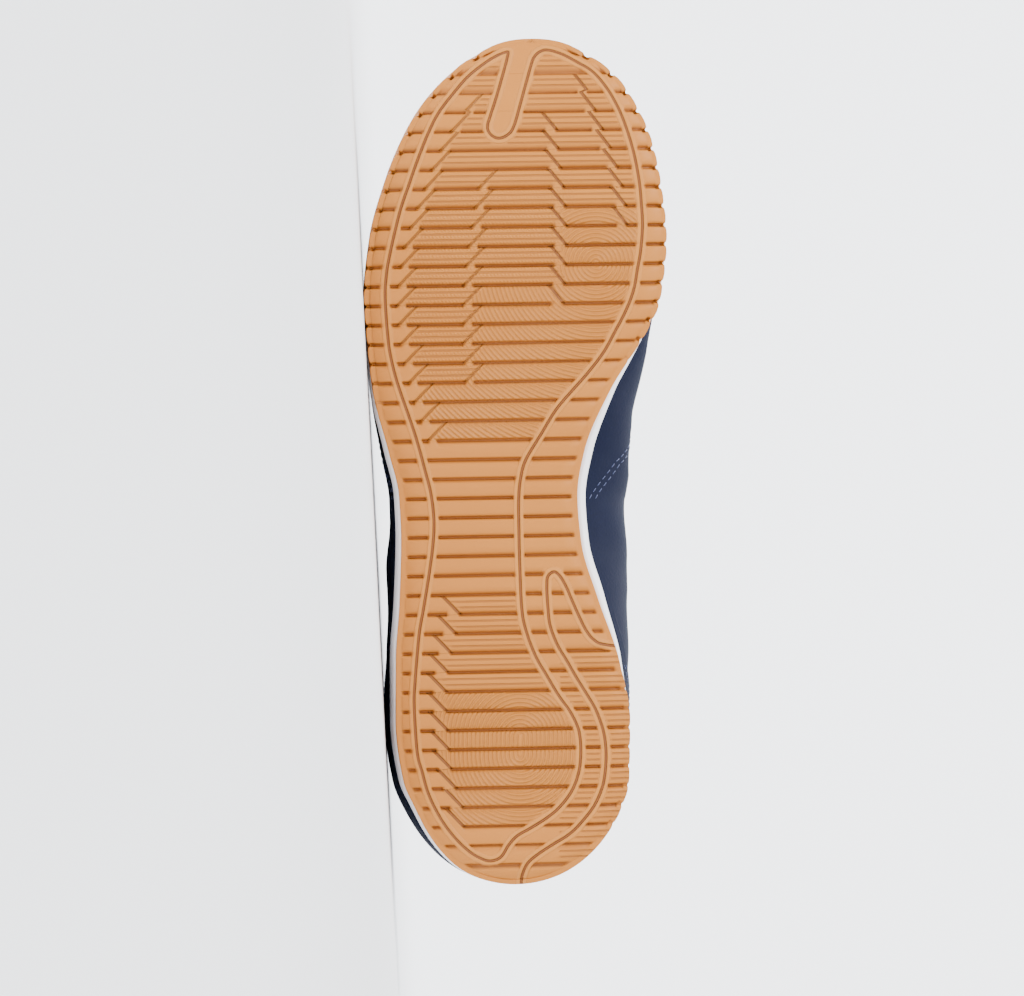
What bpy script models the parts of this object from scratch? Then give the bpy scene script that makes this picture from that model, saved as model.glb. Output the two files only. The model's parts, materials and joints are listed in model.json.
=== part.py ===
"""Indoor court shoe, right foot, empty, lying on its outer side.

Run with: blender --background --python part.py

The shoe is drawn in its own frame, in metres: X from the back of the heel to the toe, Y towards the inner
(medial) side, Z up from the ground. An empty then lays it on its outer side: its toe towards -X, its tread
towards -Y and its inner side up.
"""

import math
from collections import namedtuple

import bmesh
import bpy
import numpy as np
from mathutils import Matrix, Vector

MM = 0.001

# Sole
LENGTH = 292 * MM
BALL_WIDTH = 104 * MM
WAIST_WIDTH = 61 * MM
HEEL_WIDTH = 81 * MM
TOE_SPRING = 12 * MM
ARCH_LIFT = 1.5 * MM
HEEL_BEVEL = 2.5 * MM
TREAD = 5 * MM
GUM_WALL = 9 * MM
GUM_SIDE = 2.5 * MM
GUM_EDGE = 1.6 * MM
MIDSOLE_FLARE = 3.8 * MM
MIDSOLE_EDGE = 0.9 * MM
SHELF_LIFT = 0.25 * MM
SHELF_GAP = 0.55 * MM
HEEL_STACK = 23 * MM
FORE_STACK = 14.5 * MM

# Bars across the tread
GROOVE_PITCH = 6.64 * MM
GROOVE_WIDTH = 1.3 * MM
GROOVE_FLOOR = 0.6 * MM
GROOVE_DEPTH = 1.8 * MM
GROOVE_NOTCH = 1.0 * MM
GROOVE_SKEW = 0.018
FIRST_GROOVE = 6.9 * MM
LAST_GROOVE = 4.5 * MM

# Upper
WALL = 2.2 * MM
COLLAR_WALL = 5.5 * MM
COLLAR_PAD = 26 * MM
OVERLAY = 0.7 * MM
OVERLAY_EDGE = 0.45 * MM
FEATHER_INSET = 1.2 * MM
TOE_INSET = 4.4 * MM
HEEL_TAB = 93 * MM
COLLAR_HEIGHT = 73 * MM
COLLAR_WIDTH = 72 * MM
INSTEP_HEIGHT = 90 * MM
VAMP_HEIGHT = 59 * MM
VAMP_POINT = 201 * MM
THROAT_TOP = 124 * MM
THROAT_WIDTH = 27 * MM
EYESTAY_WIDTH = 19 * MM
TOE_CAP = 60 * MM
COUNTER = 38 * MM

# Lacing
EYELET_ROWS = 6
EYELET_BORE = 4.4 * MM
EYELET_INSET = 9 * MM
LACE_WIDTH = 5 * MM
LACE_THICKNESS = 1.5 * MM
LACE_LAP = 0.6 * MM
LACE_ROOM = 1.2 * MM

# Tongue and insole
TONGUE_WALL = 4.5 * MM
TONGUE_TUCK = 13 * MM
TONGUE_RISE = 31 * MM
TONGUE_WIDTH = 54 * MM
TONGUE_CROWN = 3 * MM
TONGUE_ROOM = 0.9 * MM
TONGUE_SINK = 3.5 * MM
INSOLE = 4 * MM
INSOLE_ROOM = 0.9 * MM

GAP = 0.3 * MM

# The tread's outline: each side's reach as a share of the width that it follows
Outline = namedtuple("Outline", "along width lateral medial")
OUTLINE = (
    Outline(0.000, HEEL_WIDTH, 0.000, 0.000),
    Outline(0.017, HEEL_WIDTH, 0.225, 0.228),
    Outline(0.053, HEEL_WIDTH, 0.352, 0.373),
    Outline(0.089, HEEL_WIDTH, 0.423, 0.449),
    Outline(0.123, HEEL_WIDTH, 0.475, 0.484),
    Outline(0.195, HEEL_WIDTH, 0.507, 0.488),
    Outline(0.264, HEEL_WIDTH, 0.507, 0.441),
    Outline(0.336, WAIST_WIDTH, 0.652, 0.467),
    Outline(0.404, WAIST_WIDTH, 0.643, 0.372),
    Outline(0.459, WAIST_WIDTH, 0.656, 0.351),
    Outline(0.510, WAIST_WIDTH, 0.715, 0.389),
    Outline(0.582, BALL_WIDTH, 0.472, 0.313),
    Outline(0.654, BALL_WIDTH, 0.495, 0.439),
    Outline(0.688, BALL_WIDTH, 0.502, 0.480),
    Outline(0.760, BALL_WIDTH, 0.483, 0.502),
    Outline(0.829, BALL_WIDTH, 0.430, 0.483),
    Outline(0.884, BALL_WIDTH, 0.365, 0.449),
    Outline(0.918, BALL_WIDTH, 0.308, 0.407),
    Outline(0.952, BALL_WIDTH, 0.225, 0.346),
    Outline(0.988, BALL_WIDTH, 0.080, 0.205),
    Outline(1.000, BALL_WIDTH, -0.0625, 0.0625),
)

# The sole's side: the gum wall's rise as a share of GUM_WALL, and how far the foam stands past the tread on
# each side as a share of MIDSOLE_FLARE
Side = namedtuple("Side", "along wall lateral medial")
SIDES = (
    Side(0.00, 1.00, 0.00, 0.00),
    Side(0.06, 1.00, 0.10, 0.00),
    Side(0.20, 0.95, 0.30, 0.00),
    Side(0.28, 0.72, 0.32, 0.60),
    Side(0.36, 0.62, 0.30, 1.00),
    Side(0.50, 0.62, 0.25, 1.00),
    Side(0.60, 0.80, 0.05, 0.45),
    Side(0.68, 0.95, -0.25, -0.25),
    Side(0.80, 1.00, -0.25, -0.25),
    Side(0.88, 1.35, -0.25, -0.25),
    Side(0.95, 1.85, -0.25, -0.25),
    Side(1.00, 2.00, -0.25, -0.25),
)

# The upper's top edge: where the wall above each point of the sole's edge ends
Rim = namedtuple("Rim", "along forward out height")
RIM = (
    Rim(0.000, 0.031 * LENGTH, 0.00 * COLLAR_WIDTH, 1.00 * HEEL_TAB),
    Rim(0.030, 0.041 * LENGTH, 0.15 * COLLAR_WIDTH, 0.985 * HEEL_TAB),
    Rim(0.090, 0.085 * LENGTH, 0.33 * COLLAR_WIDTH, 0.905 * HEEL_TAB),
    Rim(0.190, 0.185 * LENGTH, 0.47 * COLLAR_WIDTH, 1.02 * COLLAR_HEIGHT),
    Rim(0.300, 0.295 * LENGTH, 0.49 * COLLAR_WIDTH, 1.00 * COLLAR_HEIGHT),
    Rim(0.370, 0.360 * LENGTH, 0.42 * COLLAR_WIDTH, 0.90 * INSTEP_HEIGHT),
    Rim(0.430, 1.00 * THROAT_TOP, 0.70 * THROAT_WIDTH, 1.00 * INSTEP_HEIGHT),
    Rim(0.510, 1.12 * THROAT_TOP, 0.56 * THROAT_WIDTH, 0.945 * INSTEP_HEIGHT),
    Rim(0.616, 0.800 * VAMP_POINT, 0.50 * THROAT_WIDTH, 0.850 * INSTEP_HEIGHT),
    Rim(0.726, 0.890 * VAMP_POINT, 0.46 * THROAT_WIDTH, 1.145 * VAMP_HEIGHT),
    Rim(0.829, 0.948 * VAMP_POINT, 0.39 * THROAT_WIDTH, 1.055 * VAMP_HEIGHT),
    Rim(0.918, 0.982 * VAMP_POINT, 0.27 * THROAT_WIDTH, 1.015 * VAMP_HEIGHT),
    Rim(0.976, 0.997 * VAMP_POINT, 0.13 * THROAT_WIDTH, 1.002 * VAMP_HEIGHT),
    Rim(1.000, 1.000 * VAMP_POINT, 0.00 * THROAT_WIDTH, 1.000 * VAMP_HEIGHT),
)

# The last's form: each wall line leaves the sole's edge outwards and up, and comes to the top edge from
# outwards and below. Outward lengths are shares of BALL_WIDTH and heights are shares of INSTEP_HEIGHT.
Form = namedtuple("Form", "along lateral_foot medial_foot rise lateral_top medial_top drop")
FORM = (
    Form(0.000, 0.058, 0.058, 0.22, 0.045, 0.045, 0.27),
    Form(0.090, 0.055, 0.055, 0.20, 0.085, 0.085, 0.26),
    Form(0.195, 0.035, 0.055, 0.17, 0.075, 0.085, 0.24),
    Form(0.300, 0.035, 0.120, 0.17, 0.062, 0.092, 0.24),
    Form(0.404, 0.062, 0.235, 0.19, 0.165, 0.200, 0.26),
    Form(0.510, 0.045, 0.275, 0.20, 0.245, 0.285, 0.22),
    Form(0.616, 0.030, 0.170, 0.18, 0.255, 0.285, 0.14),
    Form(0.726, 0.020, 0.030, 0.15, 0.250, 0.270, 0.07),
    Form(0.829, 0.012, 0.012, 0.16, 0.240, 0.260, 0.03),
    Form(0.918, 0.004, 0.004, 0.19, 0.330, 0.330, 0.02),
    Form(1.000, 0.000, 0.000, 0.21, 0.450, 0.450, 0.01),
)

# The raised panel at the foot of the wall: toe cap in front, counter behind, nothing between
Panel = namedtuple("Panel", "along reach raised")
PANELS = (
    Panel(0.00, 1.00 * COUNTER, 1.0),
    Panel(0.10, 0.90 * COUNTER, 1.0),
    Panel(0.20, 0.55 * COUNTER, 1.0),
    Panel(0.27, 0.20 * COUNTER, 1.0),
    Panel(0.32, 0.16 * COUNTER, 0.0),
    Panel(0.72, 0.10 * TOE_CAP, 0.0),
    Panel(0.77, 0.12 * TOE_CAP, 1.0),
    Panel(0.85, 0.40 * TOE_CAP, 1.0),
    Panel(0.93, 0.78 * TOE_CAP, 1.0),
    Panel(1.00, 1.00 * TOE_CAP, 1.0),
)

# The tongue above the throat, from where it leaves the throat to its top edge
Top = namedtuple("Top", "rise half crown")
TONGUE_TOP = (
    Top(0.22 * TONGUE_RISE, 0.33 * TONGUE_WIDTH, 2.4 * TONGUE_CROWN),
    Top(0.52 * TONGUE_RISE, 0.42 * TONGUE_WIDTH, 2.4 * TONGUE_CROWN),
    Top(0.86 * TONGUE_RISE, 0.46 * TONGUE_WIDTH, 2.2 * TONGUE_CROWN),
    Top(1.00 * TONGUE_RISE, 0.36 * TONGUE_WIDTH, 1.5 * TONGUE_CROWN),
)

STATIONS = 31
FOAM_STATIONS = 49
END_TURNS = (0.022, 0.044, 0.066)
LATERAL, MEDIAL = -1.0, 1.0

# How the shoe lies: how much higher its centre of mass may be than on the lowest flat, and how far its tread
# then faces up
ROLL_ROOM = 0.5 * MM
SOLE_LEAN = math.radians(3.4)


def smooth(keys, values, at, flat=False):
    """Monotone cubic through a table's rows, so nothing swings past two rows. flat levels it at both ends."""
    keys = np.asarray(keys, float)
    values = np.asarray(values, float)
    step = np.diff(keys)
    slope = np.diff(values) / step
    before, after = slope[:-1], slope[1:]
    total = before + after
    same = before * after > 0
    inner = np.where(same, 2 * before * after / np.where(same, total, 1), 0)
    ends = (0.0, 0.0) if flat else (slope[0], slope[-1])
    tangent = np.concatenate(([ends[0]], inner, [ends[1]]))
    at = np.clip(np.asarray(at, float), keys[0], keys[-1])
    i = np.clip(np.searchsorted(keys, at, side="right") - 1, 0, len(step) - 1)
    f = (at - keys[i]) / step[i]
    return (
        values[i] * (1 + 2 * f) * (1 - f) ** 2
        + tangent[i] * step[i] * f * (1 - f) ** 2
        + values[i + 1] * f * f * (3 - 2 * f)
        + tangent[i + 1] * step[i] * f * f * (f - 1)
    )


def ease(value, start, end):
    """0 before start, 1 past end, smooth between."""
    f = np.clip((np.asarray(value, float) - start) / (end - start), 0, 1)
    return f * f * (3 - 2 * f)


def turn_at(along):
    """A place along the shoe as a half turn's share, which rounds the outline at heel and toe."""
    return np.arccos(1 - 2 * np.clip(along, 0, 1)) / np.pi


def along_at(turn):
    return (1 - np.cos(np.pi * np.asarray(turn, float))) / 2


def column(table, value, turn, flat=False):
    """One column of a table, read at each turn. value gives a row's length."""
    keys = turn_at(np.array([row.along for row in table]))
    return smooth(keys, [value(row) for row in table], turn, flat)


def sided(table, name, turn, side, scale, flat=False):
    """A column that the table holds for each side of the shoe."""
    outer = column(table, lambda r: getattr(r, "lateral" + name) * scale(r), turn, flat)
    inner = column(table, lambda r: getattr(r, "medial" + name) * scale(r), turn, flat)
    return np.where(np.asarray(side) > 0, inner, outer)


def outline(turn, side):
    """The tread's edge, as X and Y."""
    y = sided(OUTLINE, "", turn, side, lambda r: r.width)
    return LENGTH * along_at(turn), np.asarray(side) * y


def outward(turn, side):
    """The outline's unit normal, away from the sole."""
    step = 1e-4
    low = np.clip(np.asarray(turn, float) - step, 0, 1)
    high = np.clip(np.asarray(turn, float) + step, 0, 1)
    x0, y0 = outline(low, side)
    x1, y1 = outline(high, side)
    length = np.hypot(x1 - x0, y1 - y0)
    return -side * (y1 - y0) / length, side * (x1 - x0) / length


def edge(turn, side, inset):
    """The outline moved inwards by inset, square to itself."""
    x, y = outline(turn, side)
    nx, ny = outward(turn, side)
    return x - nx * inset, y - ny * inset


def ground(x):
    """Height of the sole: level under ball and heel, lifted at the arch, sprung at the toe."""
    share = np.asarray(x, float) / LENGTH
    toe = TOE_SPRING * np.clip((share - 0.735) / 0.265, 0, None) ** 2
    arch = ARCH_LIFT * ease(share, 0.30, 0.40) * (1 - ease(share, 0.48, 0.58))
    return toe + arch


def bevel(x):
    """How far the tread turns up at the back of the heel."""
    share = np.asarray(x, float) / LENGTH
    return HEEL_BEVEL * np.clip((0.045 - share) / 0.045, 0, None) ** 2


def stack(x):
    """Thickness of gum and foam under the foot."""
    share = np.asarray(x, float) / LENGTH
    return HEEL_STACK + (FORE_STACK - HEEL_STACK) * ease(share, 0.22, 0.64)


def gum_rise(turn):
    return column(SIDES, lambda r: r.wall * GUM_WALL, turn, flat=True)


def flare(turn, side):
    return sided(SIDES, "", turn, side, lambda r: MIDSOLE_FLARE, flat=True)


def loop(stations):
    """Turns and sides once around the shoe: heel, inner side, toe, outer side."""
    half = np.linspace(0, 1, stations)
    turns = np.concatenate((half, half[-2:0:-1]))
    sides = np.concatenate((np.full(stations, MEDIAL), np.full(stations - 2, LATERAL)))
    return turns, sides


def profile(turn, side, rows):
    """Columns of points around the shoe. Each row gives an inset, and a height at each X and turn."""
    points = []
    for inset, height in rows:
        x, y = edge(turn, side, inset)
        points.append(np.stack((x, y, ground(x) + height(x)), axis=-1))
    return np.stack(points, axis=1)


def make_object(name, verts, faces, collection, material=None):
    """One closed mesh, its faces turned out and its round parts shaded smooth."""
    work = bmesh.new()
    corners = [work.verts.new(v) for v in verts]
    for face in faces:
        distinct = list(dict.fromkeys(face))
        work.faces.new([corners[i] for i in distinct])
    bmesh.ops.recalc_face_normals(work, faces=work.faces)
    mesh = bpy.data.meshes.new(name)
    work.to_mesh(mesh)
    work.free()
    mesh.shade_smooth()
    mesh.set_sharp_from_angle(angle=math.radians(35))
    thing = bpy.data.objects.new(name, mesh)
    collection.objects.link(thing)
    if material:
        mesh.materials.append(material)
    return thing


def ring_faces(columns, rows):
    """Quads between neighbouring columns of a closed loop."""
    quads = []
    for c in range(columns):
        d = (c + 1) % columns
        for r in range(rows - 1):
            quads.append((c * rows + r, d * rows + r, d * rows + r + 1, c * rows + r + 1))
    return quads


def plate_faces(columns, rows, row):
    """Strips across the shoe, from the inner side's columns to the outer side's."""
    half = columns // 2
    strips = []
    for j in range(half):
        near, far = j, j + 1
        strips.append(
            tuple(c % columns * rows + row for c in (near, far, columns - far, columns - near))
        )
    return strips


def plate_solid(name, points, collection, material):
    """A closed piece from side columns, filled across at their first and last points."""
    columns, rows = points.shape[:2]
    faces = ring_faces(columns, rows)
    faces += plate_faces(columns, rows, 0)
    faces += plate_faces(columns, rows, rows - 1)
    return make_object(name, points.reshape(-1, 3), faces, collection, material)


def groove_stations():
    """X of each tread station on the shoe's centre line, and how deep the tread is cut there."""
    span = LENGTH - FIRST_GROOVE - LAST_GROOVE
    count = int(span / GROOVE_PITCH) + 1
    cuts = ((-GROOVE_WIDTH / 2, 0.0), (-GROOVE_FLOOR / 2, 1.0), (GROOVE_FLOOR / 2, 1.0), (GROOVE_WIDTH / 2, 0.0))
    stations = [(LENGTH * along_at(end), 0.0) for end in END_TURNS]
    for k in range(count):
        centre = FIRST_GROOVE + k * GROOVE_PITCH
        stations += [(centre + offset, cut) for offset, cut in cuts]
    stations += [(LENGTH * along_at(1 - end), 0.0) for end in reversed(END_TURNS)]
    return stations


def groove_turns(side):
    """The stations' turns on one side: the bars run a little forward towards the inner side."""
    centre = np.array([x for x, cut in groove_stations()])
    x = centre.copy()
    for _ in range(3):
        y = outline(turn_at(x / LENGTH), side)[1]
        x = centre + GROOVE_SKEW * y
    return turn_at(x / LENGTH)


def make_outsole(collection, material):
    """Gum unit: bars across the tread, notched edges under the forefoot, a wall around the foam."""
    cut = np.array([depth for x, depth in groove_stations()])
    inner, outer = groove_turns(MEDIAL), groove_turns(LATERAL)
    turn = np.concatenate(([0.0], inner, [1.0], outer[::-1]))
    side = np.concatenate((np.full(len(inner) + 2, MEDIAL), np.full(len(outer), LATERAL)))
    cut = np.concatenate(([0.0], cut, [0.0], cut[::-1]))
    through = ease(along_at(turn), 0.52, 0.60)
    notch = cut * through * GROOVE_NOTCH
    depth = cut * GROOVE_DEPTH
    rise = gum_rise(turn)
    rows = (
        (GUM_SIDE + GUM_EDGE, lambda x: bevel(x) + depth),
        (GUM_EDGE + notch, lambda x: bevel(x) + depth * through),
        (0.25 * GUM_EDGE + notch, lambda x: bevel(x) + 0.8 * GUM_EDGE + 0.5 * depth * through),
        (0.5 * notch, lambda x: 0.45 * rise + 0.5 * GUM_EDGE),
        (GAP, lambda x: rise),
        (GUM_SIDE, lambda x: rise),
        (GUM_SIDE, lambda x: TREAD),
    )
    return plate_solid("outsole", profile(turn, side, rows), collection, material)


def foam_edge(turn, side):
    """Inset of the foam's block in the gum cup, its height over the wall, and its outer face's inset."""
    x = outline(turn, side)[0]
    room = stack(x) - gum_rise(turn) - GAP
    shown = ease(room, 2.0 * MM, 4.0 * MM)
    block = GUM_SIDE + GAP
    outer = block + shown * (-flare(turn, side) - block)
    foot = block + shown * (-0.35 * flare(turn, side) - block)
    shelf = np.minimum(gum_rise(turn) + SHELF_GAP, stack(x) - 1.4 * MM)
    return block, shelf, foot, outer, stack(x)


def make_midsole(collection, material):
    """Foam wedge: a block in the gum cup and, above the wall, a band that stands out over it."""
    turn, side = loop(FOAM_STATIONS)
    block, shelf, foot, outer, top = foam_edge(turn, side)
    rows = (
        (block, lambda x: TREAD + GAP),
        (block, lambda x: shelf),
        (foot, lambda x: shelf + SHELF_LIFT),
        (outer, lambda x: top - MIDSOLE_EDGE),
        (outer + 0.8 * MIDSOLE_EDGE, stack),
    )
    return plate_solid("midsole", profile(turn, side, rows), collection, material)


def feather_inset(turn, side):
    """Inset of the upper's foot: just inside the foam's edge, and inside the bumper at the toe."""
    outer = foam_edge(turn, side)[3]
    toe = ease(along_at(turn), 0.80, 0.92)
    back = 1 - ease(along_at(turn), 0.00, 0.10)
    base = outer + FEATHER_INSET + 0.8 * MM * back
    return base + toe * np.maximum(TOE_INSET - base, 0)


def last(turn, side, t):
    """The upper's outer face: a cubic from the sole's edge (t = 0) to the top edge (t = 1)."""
    turn, side, t = np.broadcast_arrays(np.asarray(turn, float), side, t)
    inset = feather_inset(turn, side)
    bx, by = edge(turn, side, inset)
    bz = ground(bx) + stack(bx) + GAP
    tx = column(RIM, lambda r: r.forward, turn, flat=True)
    ty = side * column(RIM, lambda r: r.out, turn)
    tz = column(RIM, lambda r: r.height, turn, flat=True)
    nx, ny = outward(turn, side)
    foot = sided(FORM, "_foot", turn, side, lambda r: BALL_WIDTH, flat=True)
    top = sided(FORM, "_top", turn, side, lambda r: BALL_WIDTH, flat=True)
    rise = column(FORM, lambda r: r.rise * INSTEP_HEIGHT, turn, flat=True)
    drop = column(FORM, lambda r: r.drop * INSTEP_HEIGHT, turn, flat=True)
    handles = (
        (bx, by, bz),
        (bx + nx * foot, by + ny * foot, bz + rise),
        (tx + nx * top, ty + ny * top, tz - drop),
        (tx, ty, tz),
    )
    weights = ((1 - t) ** 3, 3 * t * (1 - t) ** 2, 3 * t * t * (1 - t), t ** 3)
    return sum(w[..., None] * np.stack(h, axis=-1) for w, h in zip(weights, handles))


def unit(vectors):
    return vectors / np.maximum(np.linalg.norm(vectors, axis=-1, keepdims=True), 1e-12)


def step_round(turn, side, shift):
    """A turn moved along the loop, past heel or toe onto the other side."""
    place = np.where(side > 0, turn, 2 - turn) + shift
    place = np.mod(place, 2)
    return np.where(place <= 1, place, 2 - place), np.where(place <= 1, MEDIAL, LATERAL)


def last_normal(turn, side, t):
    """Unit normal of the last, outwards."""
    turn, side, t = np.broadcast_arrays(np.asarray(turn, float), side, t)
    h = 2e-3
    up = last(turn, side, np.minimum(t + h, 1)) - last(turn, side, np.maximum(t - h, 0))
    ahead, ahead_side = step_round(turn, side, h)
    behind, behind_side = step_round(turn, side, -h)
    around = last(ahead, ahead_side, t) - last(behind, behind_side, t)
    return unit(np.cross(up, around))


def reach_table(turn, side, samples=81):
    """Shares t up one wall line and the length along it from the sole's edge."""
    t = np.linspace(0, 1, samples)
    points = last(turn, side, t)
    lengths = np.linalg.norm(np.diff(points, axis=0), axis=1)
    return t, np.concatenate(([0], np.cumsum(lengths)))


def t_from_foot(turn, side, distance):
    t, reach = reach_table(turn, side)
    return np.interp(distance, reach, t)


def t_from_rim(turn, side, distance):
    t, reach = reach_table(turn, side)
    return np.interp(reach[-1] - distance, reach, t)


def at_collar(turn):
    """1 around the ankle, 0 along the throat."""
    forward = column(RIM, lambda r: r.forward, turn, flat=True)
    return 1 - ease(forward, 0.72 * THROAT_TOP, 0.92 * THROAT_TOP)


def wall_thickness(turn, from_rim):
    """The wall, padded towards the collar's edge."""
    pad = at_collar(turn) * (1 - ease(from_rim, 0.25 * COLLAR_PAD, COLLAR_PAD))
    return WALL + (COLLAR_WALL - WALL) * pad


def wall_lines(turn, side):
    """Levels up one wall line, and how far the outer face is raised at each."""
    t, reach = reach_table(turn, side)
    height = reach[-1]
    panel = column(PANELS, lambda r: r.reach, turn, flat=True)
    raised = column(PANELS, lambda r: r.raised, turn, flat=True) * OVERLAY
    stay = height - EYESTAY_WIDTH
    panel = min(panel, stay - 3 * OVERLAY_EDGE)
    band = (1 - at_collar(turn)) * OVERLAY
    low = (panel - OVERLAY_EDGE) * np.array((0, 0.14, 0.40, 0.70, 1))
    middle = np.linspace(panel + OVERLAY_EDGE, stay - OVERLAY_EDGE, 5)
    high = np.linspace(stay + OVERLAY_EDGE, height, 4)
    levels = np.concatenate((low, middle, high))
    lift = np.concatenate(([0], np.full(4, raised), np.zeros(5), np.full(4, band)))
    return np.interp(levels, reach, t), lift, height - levels


def make_upper(collection, guides, material):
    """The hollow upper: outer face with its raised panels, rolled top edge and inner face."""
    turns, sides = loop(STATIONS)
    columns = []
    for turn, side in zip(turns, sides):
        t, lift, from_rim = wall_lines(turn, side)
        face = last(turn, side, t) + last_normal(turn, side, t) * lift[:, None]
        keep = np.array([0, 1, 2, 3, 5, 6, 7, 8, 10, 11, 12, 13])
        thick = wall_thickness(turn, from_rim[keep])
        lining = last(turn, side, t[keep]) - last_normal(turn, side, t[keep]) * thick[:, None]
        centre = (face[-1] + lining[-1]) / 2
        half = (face[-1] - lining[-1]) / 2
        rising = unit(last(turn, side, 1.0) - last(turn, side, 0.97)) * np.linalg.norm(half)
        angles = np.radians((45, 90, 135))
        bend = [centre + half * math.cos(a) + rising * math.sin(a) for a in angles]
        columns.append(np.concatenate((face, bend, lining[::-1])))
    points = np.array(columns)
    count, rows = points.shape[:2]
    faces = ring_faces(count, rows)
    faces += [
        (c * rows, ((c + 1) % count) * rows, ((c + 1) % count) * rows + rows - 1, c * rows + rows - 1)
        for c in range(count)
    ]
    upper = make_object("upper", points.reshape(-1, 3), faces, collection, material)
    punch = make_punches(guides)
    holes = upper.modifiers.new("Lace holes", "BOOLEAN")
    holes.operation = "DIFFERENCE"
    holes.object = punch
    return upper


def eyelets():
    """(turn, place and normal on each side) of every lace hole, from the throat's top to the vamp."""
    rim_turns = np.linspace(0, 1, 400)
    forward = column(RIM, lambda r: r.forward, rim_turns, flat=True)
    rows = np.linspace(1.04 * THROAT_TOP, 0.955 * VAMP_POINT, EYELET_ROWS)
    places = []
    for x in rows:
        turn = float(np.interp(x, forward, rim_turns))
        pair = {}
        for side in (LATERAL, MEDIAL):
            t = t_from_rim(turn, side, EYELET_INSET)
            pair[side] = (last(turn, side, t), last_normal(turn, side, t))
        places.append(pair)
    return places


def make_punches(guides):
    """Short rods through the eyestay, joined into one cutter."""
    work = bmesh.new()
    for pair in eyelets():
        for place, normal in pair.values():
            turned = Vector(normal).to_track_quat("Z", "Y").to_matrix().to_4x4()
            bmesh.ops.create_cone(
                work, cap_ends=True, segments=8, radius1=EYELET_BORE / 2, radius2=EYELET_BORE / 2,
                depth=5 * WALL, matrix=Matrix.Translation(Vector(place)) @ turned,
            )
    mesh = bpy.data.meshes.new("lace_punch")
    work.to_mesh(mesh)
    work.free()
    punch = bpy.data.objects.new("lace_punch", mesh)
    guides.objects.link(punch)
    punch.hide_render = True
    punch.display_type = "WIRE"
    return punch


def throat_turns(count):
    """Turns from the top of the throat to the vamp point."""
    rim_turns = np.linspace(0, 1, 400)
    forward = column(RIM, lambda r: r.forward, rim_turns, flat=True)
    first = float(np.interp(1.02 * THROAT_TOP, forward, rim_turns))
    return np.linspace(first, 1, count)


def tongue_row(turn):
    """One section of the tongue: under the eyestay on each side and crowned across the throat."""
    tuck = TONGUE_TUCK * (0.55 + 0.45 * ease(along_at(turn), 0.45, 0.60))
    top = throat_turns(2)[0]
    sunk = 1 - ease(turn, top, top + 0.12)
    under = WALL + TONGUE_ROOM + TONGUE_SINK * sunk
    sides = {}
    for side in (LATERAL, MEDIAL):
        t = np.array([t_from_rim(turn, side, d) for d in (tuck, 0.5 * tuck, 0.3 * MM)])
        sides[side] = last(turn, side, t) - last_normal(turn, side, t) * under
    a, b = sides[LATERAL][-1], sides[MEDIAL][-1]
    width = np.linalg.norm(b - a)
    up = unit(np.cross(unit(b - a), np.array((0.8, 0.0, -0.6))))
    up = up if up[2] > 0 else -up
    crown = TONGUE_CROWN * ease(width, 0.35 * THROAT_WIDTH, THROAT_WIDTH) + 0.8 * TONGUE_SINK * sunk
    arch = [a + (b - a) * s + up * crown * 4 * s * (1 - s) for s in (0.25, 0.5, 0.75)]
    return np.concatenate((sides[LATERAL], arch, sides[MEDIAL][::-1]))


def tongue_sections():
    """Sections from the tongue's top edge down to its seam under the vamp."""
    seated = [tongue_row(turn) for turn in throat_turns(9)]
    first, second = seated[0], seated[1]
    along = unit(first[4] - second[4])
    lean = unit(along + np.array((0.12, 0.0, 0.35)))
    root = (first[2] + first[6]) / 2
    across = np.array((0.0, 1.0, 0.0))
    up = unit(np.cross(lean, across))
    up = up if up[2] > 0 else -up
    free = []
    for row in TONGUE_TOP:
        centre = root + lean * row.rise
        places = np.linspace(-1, 1, 9)
        crown = row.crown * (1 - places ** 2)
        drop = 1.2 * TONGUE_CROWN
        free.append(centre + np.outer(places * row.half, across) + np.outer(crown - drop, up))
    return np.array(free[::-1] + seated)


def make_tongue(collection, material):
    """Padded tongue: an open sheet under the throat, made thick towards the foot."""
    rows = tongue_sections()
    count, across = rows.shape[:2]
    work = bmesh.new()
    corners = [[work.verts.new(p) for p in row] for row in rows]
    for near, far in zip(corners, corners[1:]):
        for i in range(across - 1):
            work.faces.new((near[i], near[i + 1], far[i + 1], far[i]))
    bmesh.ops.remove_doubles(work, verts=work.verts, dist=0.02 * MM)
    bmesh.ops.recalc_face_normals(work, faces=work.faces)
    work.faces.ensure_lookup_table()
    if work.faces[0].normal.z < 0:
        bmesh.ops.reverse_faces(work, faces=work.faces)
    mesh = bpy.data.meshes.new("tongue")
    work.to_mesh(mesh)
    work.free()
    mesh.shade_smooth()
    mesh.materials.append(material)
    tongue = bpy.data.objects.new("tongue", mesh)
    collection.objects.link(tongue)
    thick = tongue.modifiers.new("Padding", "SOLIDIFY")
    thick.thickness = TONGUE_WALL
    thick.offset = -1
    return tongue


def make_insole(collection, material):
    """Sockliner on the foam, inside the upper's foot."""
    turn, side = loop(STATIONS)
    inset = feather_inset(turn, side) + WALL + INSOLE_ROOM
    rows = (
        (inset, lambda x: stack(x) + GAP),
        (inset, lambda x: stack(x) + GAP + 0.75 * INSOLE),
        (inset + 0.3 * INSOLE, lambda x: stack(x) + GAP + INSOLE),
    )
    return plate_solid("insole", profile(turn, side, rows), collection, material)


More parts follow.
